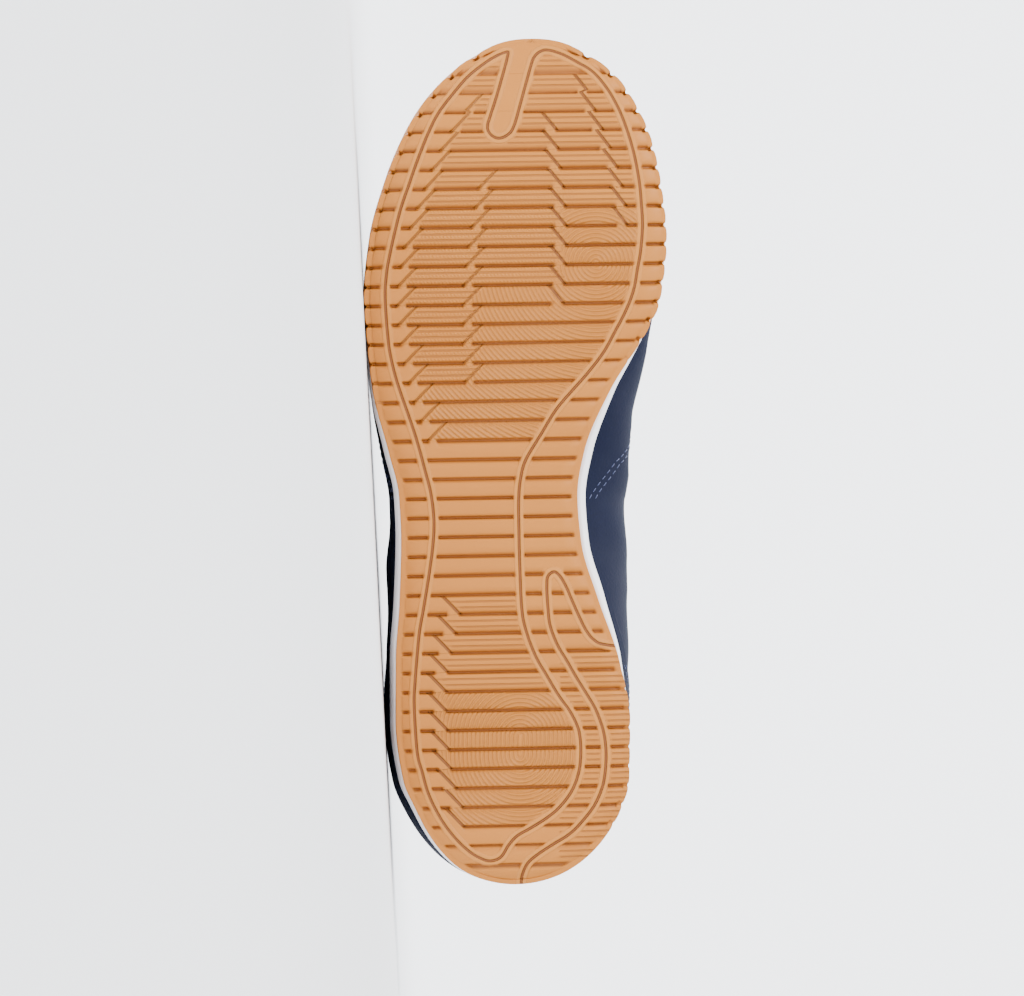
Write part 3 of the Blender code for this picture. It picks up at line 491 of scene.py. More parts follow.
def ground(x):
    """Height of the sole: level under ball and heel, lifted at the arch, sprung at the toe."""
    share = np.asarray(x, float) / LENGTH
    toe = TOE_SPRING * np.clip((share - 0.735) / 0.265, 0, None) ** 2
    arch = ARCH_LIFT * ease(share, 0.30, 0.40) * (1 - ease(share, 0.48, 0.58))
    return toe + arch


def bevel(x):
    """How far the tread turns up at the back of the heel."""
    share = np.asarray(x, float) / LENGTH
    return HEEL_BEVEL * np.clip((0.045 - share) / 0.045, 0, None) ** 2


def stack(x):
    """Thickness of gum and foam under the foot."""
    share = np.asarray(x, float) / LENGTH
    return HEEL_STACK + (FORE_STACK - HEEL_STACK) * ease(share, 0.22, 0.64)


def gum_rise(turn):
    return column(SIDES, lambda r: r.wall * GUM_WALL, turn, flat=True)


def flare(turn, side):
    return sided(SIDES, "", turn, side, lambda r: MIDSOLE_FLARE, flat=True)


def foam_shown(turn, side):
    """How much of the foam shows over the gum wall, from 0 to 1."""
    x = outline(turn, side)[0]
    return ease(stack(x) - gum_rise(turn) - GAP, 2.0 * MM, 4.0 * MM)


def foam_inset(turn, side):
    """Inset of the foam's outer face."""
    block = GUM_SIDE + GAP
    return block + foam_shown(turn, side) * (-flare(turn, side) - block)


def feather_inset(turn, side):
    """Inset of the upper's foot: just inside the foam's edge, and inside the bumper at the toe."""
    toe = ease(along_at(turn), 0.80, 0.92)
    back = 1 - ease(along_at(turn), 0.00, 0.10)
    base = foam_inset(turn, side) + FEATHER_INSET + 0.8 * MM * back
    return base + toe * np.maximum(TOE_INSET - base, 0)


def last(turn, side, t):
    """The upper's outer face: a cubic from the sole's edge (t = 0) to the top edge (t = 1)."""
    turn, side, t = np.broadcast_arrays(np.asarray(turn, float), side, t)
    bx, by = edge(turn, side, feather_inset(turn, side))
    bz = ground(bx) + stack(bx) + GAP
    tx = column(RIM, lambda r: r.forward, turn, flat=True)
    ty = side * column(RIM, lambda r: r.out, turn)
    tz = column(RIM, lambda r: r.height, turn, flat=True)
    nx, ny = outward(turn, side)
    foot = sided(FORM, "_foot", turn, side, lambda r: BALL_WIDTH, flat=True)
    top = sided(FORM, "_top", turn, side, lambda r: BALL_WIDTH, flat=True)
    rise = column(FORM, lambda r: r.rise * INSTEP_HEIGHT, turn, flat=True)
    drop = column(FORM, lambda r: r.drop * INSTEP_HEIGHT, turn, flat=True)
    handles = (
        (bx, by, bz),
        (bx + nx * foot, by + ny * foot, bz + rise),
        (tx + nx * top, ty + ny * top, tz - drop),
        (tx, ty, tz),
    )
    weights = ((1 - t) ** 3, 3 * t * (1 - t) ** 2, 3 * t * t * (1 - t), t ** 3)
    return sum(w[..., None] * np.stack(h, axis=-1) for w, h in zip(weights, handles))


def last_normal(turn, side, t):
    """Unit normal of the last, outwards: its step up the wall crossed with its step around the shoe."""
    turn, side, t = np.broadcast_arrays(np.asarray(turn, float), np.asarray(side, float), t)
    h = 2e-3
    up = last(turn, side, np.minimum(t + h, 1)) - last(turn, side, np.maximum(t - h, 0))
    place = np.where(side > 0, turn, 2 - turn)
    ahead, behind = np.mod(place + h, 2), np.mod(place - h, 2)
    ends = []
    for spot in (ahead, behind):
        ends.append(last(np.where(spot <= 1, spot, 2 - spot), np.where(spot <= 1, MEDIAL, LATERAL), t))
    return unit(np.cross(up, ends[0] - ends[1]))


def reaches(turn, side, samples=81):
    """For each wall line, the length along it from the sole's edge at even shares t."""
    t = np.linspace(0, 1, samples)
    points = last(np.asarray(turn)[:, None], np.asarray(side)[:, None], t[None, :])
    steps = np.linalg.norm(np.diff(points, axis=1), axis=2)
    return np.concatenate((np.zeros((len(points), 1)), np.cumsum(steps, axis=1)), axis=1)


def share_at(reach, level):
    """The share t at which each wall line is level long. level holds one row of lengths for each line."""
    level = np.clip(level, 0, reach[:, -1:])
    i = np.clip((reach[:, None, :] <= level[:, :, None]).sum(axis=2) - 1, 0, reach.shape[1] - 2)
    low = np.take_along_axis(reach, i, axis=1)
    high = np.take_along_axis(reach, i + 1, axis=1)
    return (i + (level - low) / (high - low)) / (reach.shape[1] - 1)


def at_collar(turn):
    """1 around the ankle, 0 along the throat."""
    forward = column(RIM, lambda r: r.forward, turn, flat=True)
    return 1 - ease(forward, 0.72 * THROAT_TOP, 0.92 * THROAT_TOP)


def rim_turn(forward, samples=400):
    """The turn at which the top edge reaches a place along the shoe."""
    turns = np.linspace(0, 1, samples)
    return np.interp(forward, column(RIM, lambda r: r.forward, turns, flat=True), turns)


def side_columns(turn, side, rows, lift):
    """Columns up the side of a skin. Each row is an inset from the outline and a height, and lift gives its Z."""
    ring = []
    for inset, height in rows:
        x, y = edge(turn, side, inset)
        ring.append(np.stack((x, y, lift(x, height)), axis=-1))
    return np.stack(ring, axis=1)


def loop(stations):
    """Turns and sides once around the shoe: heel, inner side, toe, outer side."""
    half = np.linspace(0, 1, stations)
    turns = np.concatenate((half, half[-2:0:-1]))
    sides = np.concatenate((np.full(stations, MEDIAL), np.full(stations - 2, LATERAL)))
    return turns, sides


def chart(spots):
    """Charted places as X and Y on the tread."""
    return np.array([((CHART_HEEL - s.down) * CHART_UNIT, (s.right - CHART_MIDDLE) * CHART_UNIT) for s in spots])


def beside(points, line):
    """Distance of each point from a line through many places: positive on its left, negative on its right."""
    start, step = line[:-1], np.diff(line, axis=0)
    whole = (step ** 2).sum(axis=1) > 0
    start, step = start[whole], step[whole]
    square = (step ** 2).sum(axis=1)
    parts = []
    for block in np.array_split(points, max(1, len(points) // 4000)):
        away = block[:, None, :] - start
        f = np.clip((away * step).sum(axis=2) / square, 0, 1)
        gap = np.linalg.norm(away - f[..., None] * step, axis=2)
        near = gap.argmin(axis=1)
        rows = np.arange(len(block))
        cross = step[near, 0] * away[rows, near, 1] - step[near, 1] * away[rows, near, 0]
        parts.append(np.where(cross >= 0, 1, -1) * gap[rows, near])
    return np.concatenate(parts)


# ---------------------------------------------------------------- the way the shoe lies

def lie():
    """The shoe's axes and origin in the world, from the two mounts under the tread."""
    mounts = {m["name"]: m for m in frame["record"]["mounts"]}
    fore = np.array(mounts["forefoot_tread"]["pos_m"])
    heel = np.array(mounts["heel_tread"]["pos_m"])
    up = unit(-np.array(mounts["forefoot_tread"]["axis"]))
    toe = unit(fore - heel)
    inner = np.cross(up, toe)
    return np.stack((toe, inner, up), axis=1), fore - toe * FOREFOOT_BAR


AXES, ORIGIN = lie()


def laid(points):
    """Points of the shoe's frame as they lie in the world."""
    return np.asarray(points) @ AXES.T + ORIGIN


# ---------------------------------------------------------------- meshes

def grid_quads(ids, around=False):
    """Quads between neighbouring rows and columns of an index grid. around joins its last row to its first."""
    if around:
        ids = np.concatenate((ids, ids[:1]))
    return np.stack((ids[:-1, :-1], ids[1:, :-1], ids[1:, 1:], ids[:-1, 1:]), axis=-1).reshape(-1, 4)


def put(name, points, faces, materials, slots=None, marks=None):
    """One piece that rides on the shoe: laid points, faces, materials by face, and marks at its points."""
    mesh = bpy.data.meshes.new(name)
    listed = [row for block in faces for row in np.asarray(block).tolist()]
    mesh.from_pydata(laid(points), [], listed)
    for material in materials:
        mesh.materials.append(material)
    if slots is not None:
        mesh.polygons.foreach_set("material_index", np.asarray(slots, np.int32))
    work = bmesh.new()
    work.from_mesh(mesh)
    bmesh.ops.recalc_face_normals(work, faces=work.faces)
    work.to_mesh(mesh)
    work.free()
    mesh.shade_smooth()
    for key, values in (marks or {}).items():
        values = np.asarray(values, np.float32)
        kind = "FLOAT" if values.ndim == 1 else "FLOAT_VECTOR"
        mark = mesh.attributes.new(key, kind, "POINT")
        mark.data.foreach_set("value" if values.ndim == 1 else "vector", values.ravel())
    mesh.update()
    piece = bpy.data.objects.new(name, mesh)
    bpy.context.scene.collection.objects.link(piece)
    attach(piece, "root")
    return piece


def plated(ring, low, high):
    """A closed skin from a ring of side columns: straight lines run across it at the columns' first points, in
    low steps, and at their last points, in high steps. Gives points, faces and the low plate's index grid."""
    count, rows = ring.shape[:2]
    half = count // 2
    ids = np.arange(count * rows).reshape(count, rows)
    points, quads, triangles, plates = [ring.reshape(-1, 3)], [grid_quads(ids, True)], [], []
    used = count * rows
    for row, steps in ((0, low), (rows - 1, high)):
        inner, outer = ids[1:half, row], ids[count - 1:half:-1, row]
        f = (np.arange(1, steps) / steps)[None, :, None]
        a, b = ring[count - 1:half:-1, row][:, None], ring[1:half, row][:, None]
        points.append((a + (b - a) * f).reshape(-1, 3))
        middle = used + np.arange((half - 1) * (steps - 1)).reshape(half - 1, steps - 1)
        used += middle.size
        plate = np.concatenate((outer[:, None], middle, inner[:, None]), axis=1)
        quads.append(grid_quads(plate))
        for tip, line in ((ids[0, row], plate[0]), (ids[half, row], plate[-1])):
            triangles.append(np.stack((np.full(steps, tip), line[:-1], line[1:]), axis=1))
        plates.append(plate)
    return np.concatenate(points), quads + triangles, plates


def tube(ring_points):
    """Faces of a skin of rings (rings, points, 3), each ring closed, its two ends fanned from their centres."""
    rings, around = ring_points.shape[:2]
    ids = np.arange(rings * around).reshape(rings, around)
    wrapped = np.concatenate((ids, ids[:, :1]), axis=1)
    points = [ring_points.reshape(-1, 3)]
    faces = [grid_quads(wrapped)]
    for k, row in ((0, wrapped[0]), (1, wrapped[-1])):
        points.append(ring_points[-k].mean(axis=0)[None])
        hub = rings * around + k
        faces.append(np.stack((np.full(around, hub), row[:-1], row[1:]), axis=1))
    return np.concatenate(points), faces


# ---------------------------------------------------------------- materials

COLOR_MIX = {"out": 2, "data_type": "RGBA"}
RIB_LINES = (0.36, 0.66)
BEAD_ROWS = 3
BEAD_LEAN = 0.35


def add(tree, kind, *feeds, out=0, **options):
    """Adds a node and gives one of its outputs. kind may name its operation after a colon. Feeds are values or
    other nodes' outputs, in the order of its sockets or in one dictionary by socket."""
    kind, _, operation = kind.partition(":")
    made = tree.nodes.new("ShaderNode" + kind)
    if operation:
        made.operation = operation
    for option, value in options.items():
        setattr(made, option, value)
    named = feeds[0] if feeds and isinstance(feeds[0], dict) else dict(enumerate(feeds))
    for key, value in named.items():
        socket = made.inputs[key]
        if isinstance(value, bpy.types.NodeSocket):
            tree.links.new(value, socket)
        else:
            socket.default_value = (*value[:3], 1.0) if socket.type == "RGBA" else value
    return made.outputs[out]


def start(name, **sockets):
    """A new material and the adder of its nodes, with the shader's own sockets set."""
    made = bpy.data.materials.new(name)
    made.use_nodes = True
    for key, value in sockets.items():
        made.node_tree.nodes["Principled BSDF"].inputs[key.replace("_", " ")].default_value = value
    return made, partial(add, made.node_tree)


def join(made, height=None, **feeds):
    """Joins a material's patterns to its shader. A height in metres becomes its relief."""
    tree = made.node_tree
    if height is not None:
        feeds["Normal"] = add(tree, "Bump", {"Strength": 1.0, "Distance": 1.0, "Height": height})
    for key, value in feeds.items():
        tree.links.new(value, tree.nodes["Principled BSDF"].inputs[key.replace("_", " ")])
    return made


def band(node, distance, half, soft):
    """1 within half of a line, 0 past it, with a soft edge."""
    return node("MapRange", node("Math:ABSOLUTE", distance), half + soft / 2, half - soft / 2, 0.0, 1.0,
                interpolation_type="SMOOTHSTEP")


def gum_rubber(tread, colors):
    """Moulded gum rubber: translucent tan, matte with a faint wax, with painted shade in every cut and a painted
    highlight on the raised lips.
    """
    made, node = start("moulded_gum_rubber", IOR=1.52, Specular_IOR_Level=0.28)
    place = node("TexCoord", out=3)
    on = {name: node("Attribute", out=2, attribute_name=name) for name in (
        "cut", "bar", "across", "phase", "ribs", "beads", "waves", "long_line", "heel_line")}
    half, lip = tread.line_width / 2, tread.lip_width / 2
    lines, lips = 0.0, 0.0
    for name in ("long_line", "heel_line"):
        beyond = node("Math:SUBTRACT", node("Math:ABSOLUTE", on[name]), half + lip)
        lines = node("Math:MAXIMUM", lines, band(node, on[name], half, 0.35 * MM))
        lips = node("Math:MAXIMUM", lips, band(node, beyond, lip, 0.5 * MM))
    drawn = node("Math:MAXIMUM", lines, lips)

    # The slanted cuts: those that lean back are shallower and softer
    slants = 0.0
    for k, slant in enumerate(SLANTS):
        soft, deep = (0.8 * MM, 0.7) if slant.lean < 0 else (0.6 * MM, 1.0)
        away = node("Attribute", out=2, attribute_name="slant_%d" % k)
        core = band(node, away, tread.slant_width / 2 - 0.4 * soft, soft)
        slants = node("Math:MAXIMUM", slants, node("Math:MULTIPLY", core, deep))
    slants = node("Math:MULTIPLY", slants, node("Math:SUBTRACT", 1.0, drawn))

    # Fine lines, beads and waves along the bars
    bar = node("Math:FRACT", on["bar"])
    ribs = 0.0
    for at in RIB_LINES:
        off = node("Math:MULTIPLY", node("Math:SUBTRACT", bar, at), GROOVE_PITCH)
        ribs = node("Math:MAXIMUM", ribs, band(node, off, tread.rib_width / 2, 0.3 * MM))
    ribs = node("Math:MULTIPLY", ribs, on["ribs"])
    slope = node("Math:MULTIPLY_ADD", bar, BEAD_LEAN * GROOVE_PITCH, on["across"])
    bead = node("Math:SINE", node("Math:MULTIPLY", slope, 2 * math.pi / tread.bead))
    bead = node("Math:MULTIPLY_ADD", bead, 0.5, 0.5)
    turns = 2 * math.pi * BEAD_ROWS
    rows = node("Math:SINE", node("Math:MULTIPLY_ADD", bar, turns, -turns * RIB_LINES[0] - math.pi / 2))
    rows = node("Math:MAXIMUM", rows, 0.0)
    beads = node("Math:MULTIPLY", node("Math:MULTIPLY", bead, rows), on["beads"])
    wave = node("Math:SINE", node("Math:MULTIPLY", on["phase"], 2 * math.pi / tread.wave))
    swell = node("Math:ADD", beads, node("Math:MULTIPLY", wave, on["waves"]))

    # Relief
    flat = node("Math:SUBTRACT", 1.0, node("Math:MAXIMUM", drawn, on["cut"]))
    fine = node("Math:MULTIPLY", node("Math:MULTIPLY", swell, flat), tread.relief)
    grain = node("TexNoise", {"Vector": place, "Scale": 1 / (0.8 * MM), "Detail": 3.0})
    height = node("Math:MULTIPLY_ADD", grain, 0.02 * MM, fine)
    for pattern, depth in ((lines, -tread.line_depth), (lips, tread.lip_height), (slants, -tread.slant_depth),
                           (node("Math:MULTIPLY", ribs, flat), -tread.rib_depth)):
        height = node("Math:MULTIPLY_ADD", pattern, depth, height)

    # Colour: cloudy tan, with a painted highlight on the lips, painted shade in the hollows of the beads and
    # waves, and painted shade deeper in every cut
    cloud = node("TexNoise", {"Vector": place, "Scale": 1 / (34 * MM), "Detail": 3.0})
    cloud = node("MapRange", cloud, 0.3, 0.7, 0.0, 0.22)
    base = node("Mix", {0: cloud, 6: colors.gum, 7: hex_color("#A8621E")}, **COLOR_MIX)
    # Painted highlight: the raised lips turn paler
    base = node("Mix", {0: node("Math:MULTIPLY", lips, 0.45), 6: base, 7: colors.gum_lip_highlight}, **COLOR_MIX)
    # Painted shade: the hollows of the beads and waves turn darker
    relief_hollow_shade = node("Math:MULTIPLY", node("Math:SUBTRACT", swell, 1.0), -0.10)
    deep = node("Math:MULTIPLY", relief_hollow_shade, node("Math:MAXIMUM", on["beads"], on["waves"]))
    # Painted shade: grooves, drawn lines, slanted cuts and rib lines darken towards the cut colour
    for pattern, share in ((on["cut"], 0.72), (lines, 0.9), (slants, 0.85), (ribs, 0.45)):
        deep = node("Math:MAXIMUM", deep, node("Math:MULTIPLY", pattern, share))
    base = node("Mix", {0: deep, 6: base, 7: colors.gum_cut_shade}, **COLOR_MIX)
    rough = node("MapRange", cloud, 0.0, 0.22, 0.50, 0.62)
    return join(made, height, Base_Color=base, Roughness=rough)


def eva_foam(colors):
    """Moulded EVA foam: off-white, matte, with the fine skin of closed cells."""
    made, node = start("moulded_eva_foam", Roughness=0.62, IOR=1.45)
    place = node("TexCoord", out=3)
    cells = node("TexVoronoi", {"Vector": place, "Scale": 1 / (0.9 * MM)})
    cloud = node("TexNoise", {"Vector": place, "Scale": 1 / (22 * MM), "Detail": 2.0})
    cloud = node("Math:MULTIPLY", cloud, 0.35)
    base = node("Mix", {0: cloud, 6: colors.foam, 7: hex_color("#DEDDE2")}, **COLOR_MIX)
    return join(made, node("Math:MULTIPLY", cells, 0.035 * MM), Base_Color=base)


def synthetic_leather(upper, colors):
    """Embossed synthetic leather: navy PU with a fine pebble and a dull, even gloss."""
    made, node = start("embossed_synthetic_leather", IOR=1.45, Specular_IOR_Level=0.10)
    place = node("TexCoord", out=3)
    pebble = node("TexVoronoi", {"Vector": place, "Scale": 1 / upper.grain},
                  feature="SMOOTH_F1")
    soft = node("TexNoise", {"Vector": place, "Scale": 1 / (0.35 * MM), "Detail": 2.0})
    height = node("Math:MULTIPLY_ADD", soft, 0.02 * MM, node("Math:MULTIPLY", pebble, -0.09 * MM))
    cloud = node("TexNoise", {"Vector": place, "Scale": 1 / (26 * MM), "Detail": 4.0})
    raised, step = (node("Attribute", out=2, attribute_name=name) for name in ("raised", "step"))
    base = node("Mix", {0: raised, 6: colors.leather, 7: colors.panel}, **COLOR_MIX)
    # Mixes: a random cloudy tone, a slight tint in the pebble's pits, and painted shade from the step mark, a
    # narrow dark band beside each raised panel's edge (the eyelets take an even share of it)
    for factor, ink in ((node("Math:MULTIPLY", cloud, 0.25), "#1A2038"),
                        (node("Math:MULTIPLY", pebble, 0.3), "#121624"), (step, "#10131F")):
        base = node("Mix", {0: factor, 6: base, 7: hex_color(ink)}, **COLOR_MIX)
    rough = node("MapRange", cloud, 0.3, 0.7, 0.68, 0.8)
    return join(made, height, Base_Color=base, Roughness=rough)


def cloth_place(node):
    """Where a point lies on the cloth: along it and up it, from the mesh's own mark."""
    cloth = node("Attribute", out=1, attribute_name="cloth")
    return node("SeparateXYZ", cloth, out=0), node("SeparateXYZ", cloth, out=1)


def knit(name, spacing, ink, fuzz=0.15):
    """Warp-knit polyester over foam: rows of small loops with a dull sheen, and painted shade between the loops.
    """
    made, node = start(name, Roughness=0.85, IOR=1.5, Sheen_Weight=fuzz, Sheen_Roughness=0.45)
    place = node("TexCoord", out=3)
    along, up = cloth_place(node)
    along = node("Math:SINE", node("Math:MULTIPLY", along, 2 * math.pi / spacing))
    up = node("Math:SINE", node("Math:MULTIPLY", up, 2 * math.pi / (0.8 * spacing)))
    loops = node("Math:MULTIPLY", along, up)
    # Painted shade: the knit turns darker between its loops, where its relief is lowest
    knit_hollow_shade = [0.45 * c for c in ink]
    pale = [min(1.0, 1.35 * c + 0.004) for c in ink]
    base = node("Mix", {0: node("MapRange", loops, -1.0, 1.0, 0.35, 0.85), 6: knit_hollow_shade, 7: ink}, **COLOR_MIX)
    cloud = node("TexNoise", {"Vector": place, "Scale": 1 / (12 * MM), "Detail": 4.0})
    base = node("Mix", {0: node("Math:MULTIPLY", cloud, 0.3), 6: base, 7: pale}, **COLOR_MIX)
    return join(made, node("Math:MULTIPLY", loops, 0.07 * MM), Base_Color=base)


def woven_lace(spacing, ink):
    """Flat braided polyester: two sets of yarns crossing at a slant."""
    made, node = start("braided_polyester_lace", Roughness=0.8, IOR=1.5, Sheen_Weight=0.3)
    along, across = cloth_place(node)
    yarns = 1.0
    for way in ("Math:ADD", "Math:SUBTRACT"):
        slant = node("Math:MULTIPLY", node(way, along, across), 2 * math.pi / spacing)
        yarns = node("Math:MULTIPLY", yarns, node("Math:SINE", slant))
    shade = node("MapRange", yarns, -1.0, 1.0, 0.45, 0.0)
    base = node("Mix", {0: shade, 6: ink, 7: hex_color("#A7A9B2")}, **COLOR_MIX)
    return join(made, node("Math:MULTIPLY", yarns, 0.10 * MM), Base_Color=base)


def sewing_thread(ink):
    """Twisted polyester thread: its plies show as slanted stripes."""
    made, node = start("twisted_polyester_thread", Roughness=0.6, IOR=1.5, Sheen_Weight=0.2)
    place = node("TexCoord", out=3)
    plies = node("TexWave", {"Vector": place, "Scale": 1 / (1.5 * MM)}, out=1,
                 bands_direction="DIAGONAL")
    base = node("Mix", {0: node("Math:MULTIPLY", plies, 0.5), 6: ink, 7: [0.55 * c for c in ink]}, **COLOR_MIX)
    return join(made, Base_Color=base)


def backdrop_paper(ink):
    """Seamless studio paper: pale, matte and even."""
    made, node = start("seamless_studio_paper", Roughness=0.95)
    place = node("TexCoord", out=3)
    fibre = node("TexNoise", {"Vector": place, "Scale": 1 / (6 * MM), "Detail": 2.0})
    base = node("Mix", {0: node("Math:MULTIPLY", fibre, 0.04), 6: ink, 7: [0.9 * c for c in ink]}, **COLOR_MIX)
    return join(made, Base_Color=base)


# ---------------------------------------------------------------- sole

def sole_turns(stations, side):
    """The stations' turns on one side: the bars run a little forward towards the inner side."""
    turn = np.linspace(0, 1, 4000)
    x, y = outline(turn, side)
    return np.interp(stations, np.maximum.accumulate(x - GROOVE_SKEW * y), turn)


def groove_share(place):
    """How deep the tread is cut at a place along the bars: 1 on a groove's floor, 0 on a bar."""
    k = np.clip(np.round((place - FIRST_GROOVE) / GROOVE_PITCH), 0, GROOVE_COUNT - 1)
    return 1 - ease(np.abs(place - FIRST_GROOVE - k * GROOVE_PITCH), 0.30 * MM, 0.85 * MM)


def slant_marks(x, y):
    """Distance of each point from each kind of slanted cut, whether it lies past it, and where the cut's foot
    breaks the groove. A cut leaves the upper groove of every bar at the place that the table's curve gives, and
    runs down the bar at its lean."""
    bar = (x - GROOVE_SKEW * y - FIRST_GROOVE) / GROOVE_PITCH
    top = FIRST_GROOVE + (np.floor(bar) + 1) * GROOVE_PITCH
    above = FIRST_GROOVE + (np.round(bar) + 1) * GROOVE_PITCH
    marks, past, land = [], [], np.zeros_like(x)
    for slant in SLANTS:
        spots = chart(slant.spots)[::-1]
        first = (CHART_HEEL - slant.last) * CHART_UNIT - 0.4 * GROOVE_PITCH
        ends = spots[-1, 0] + 0.4 * GROOVE_PITCH
        run = smooth(spots[:, 0], spots[:, 1], top) + slant.lean * (top - (x - GROOVE_SKEW * y) - SLANT_STOP)
        used = (top > first) & (top < ends)
        away = (y - run) / math.hypot(1, slant.lean)
        marks.append(np.where(used, away, OFF))
        past.append(used * ease(away, 0.6 * MM, 1.2 * MM))
        foot = smooth(spots[:, 0], spots[:, 1], above) + slant.lean * (GROOVE_PITCH - SLANT_STOP)
        off = -np.sign(slant.lean) * (y - foot)
        held = (above > first) & (above < ends)
        land += held * ease(off, 0.1 * MM, 0.8 * MM) * (1 - ease(off, slant.gap - 0.7 * MM, slant.gap))
    return marks, past, np.clip(land, 0, 1), bar


def open_at(share, inner, heel=1.0):
    """1 where the grooves run out through the gum's edge, and heel where they do at the inner heel."""
    fore = np.where(inner, ease(share, *OPEN_MEDIAL), ease(share, *OPEN_LATERAL))
    return np.maximum(fore, inner * ease(share, *OPEN_HEEL) * (1 - ease(share, *SHUT_HEEL)) * heel)


def fine_relief(x, y, bar, past, long_line, heel_line, on_plate):
    """How much of the fine lines, beads and waves each point of the tread shows, and the waves' phase, which is
    the distance from their hub. The fields are cut by the slanted cuts and by the long line's loop."""
    down = CHART_HEEL - (FIRST_GROOVE + (np.floor(bar) + 0.5) * GROOVE_PITCH) / CHART_UNIT
    right = CHART_MIDDLE + y / CHART_UNIT

    def inside(field):
        return (down > field.top) & (down < field.foot) & (right > field.left) & (right < field.right)

    past_outer, past_middle, past_inner, past_heel = (past[k] for k in (0, 1, 2, 4))
    past_outer = np.maximum(past_outer, inside(TOE_FIELD))
    clear = ease(np.abs(long_line), 1.9 * MM, 2.4 * MM)
    ball = np.argmin(np.hypot(x - BALL_MIDDLE, y))
    held = long_line > 0 if long_line[ball] > 0 else long_line < 0
    fore = held * inside(FORE_FIELD) * (1 - on_plate)
    waves = np.maximum.reduce([held * inside(field) * share for field, share in (
        (MIDDLE_WAVES, past_middle), (INNER_WAVES, past_inner), (OUTER_WAVES, past_outer),
        (HEEL_WAVE_FIELD, past_heel))]) * clear
    ribs = np.maximum(fore * past_outer * (1 - waves), held * inside(WAIST_RIBS) * past_heel)
    ribs = np.maximum(ribs, inside(HEEL_RIBS) * ~held) * clear * ease(np.abs(heel_line), 1.9 * MM, 2.4 * MM)
    beads = fore * past_outer * ease(down, 150, 240) * (1 - waves) * (right < BEADS_RIGHT) * clear
    spots = np.stack((x, y), axis=1)
    fore_hub, heel_hub = chart((FORE_WAVES, HEEL_WAVES))
    apart = spots - heel_hub
    apart[:, 0] = np.sign(apart[:, 0]) * np.maximum(np.abs(apart[:, 0]) - 0.5 * GROOVE_PITCH, 0)
    phase = np.where(down > HEEL_FIELD_TOP, np.linalg.norm(apart, axis=1),
                     np.linalg.norm(spots - fore_hub, axis=1))
    return {"ribs": ribs, "beads": beads, "waves": waves}, phase


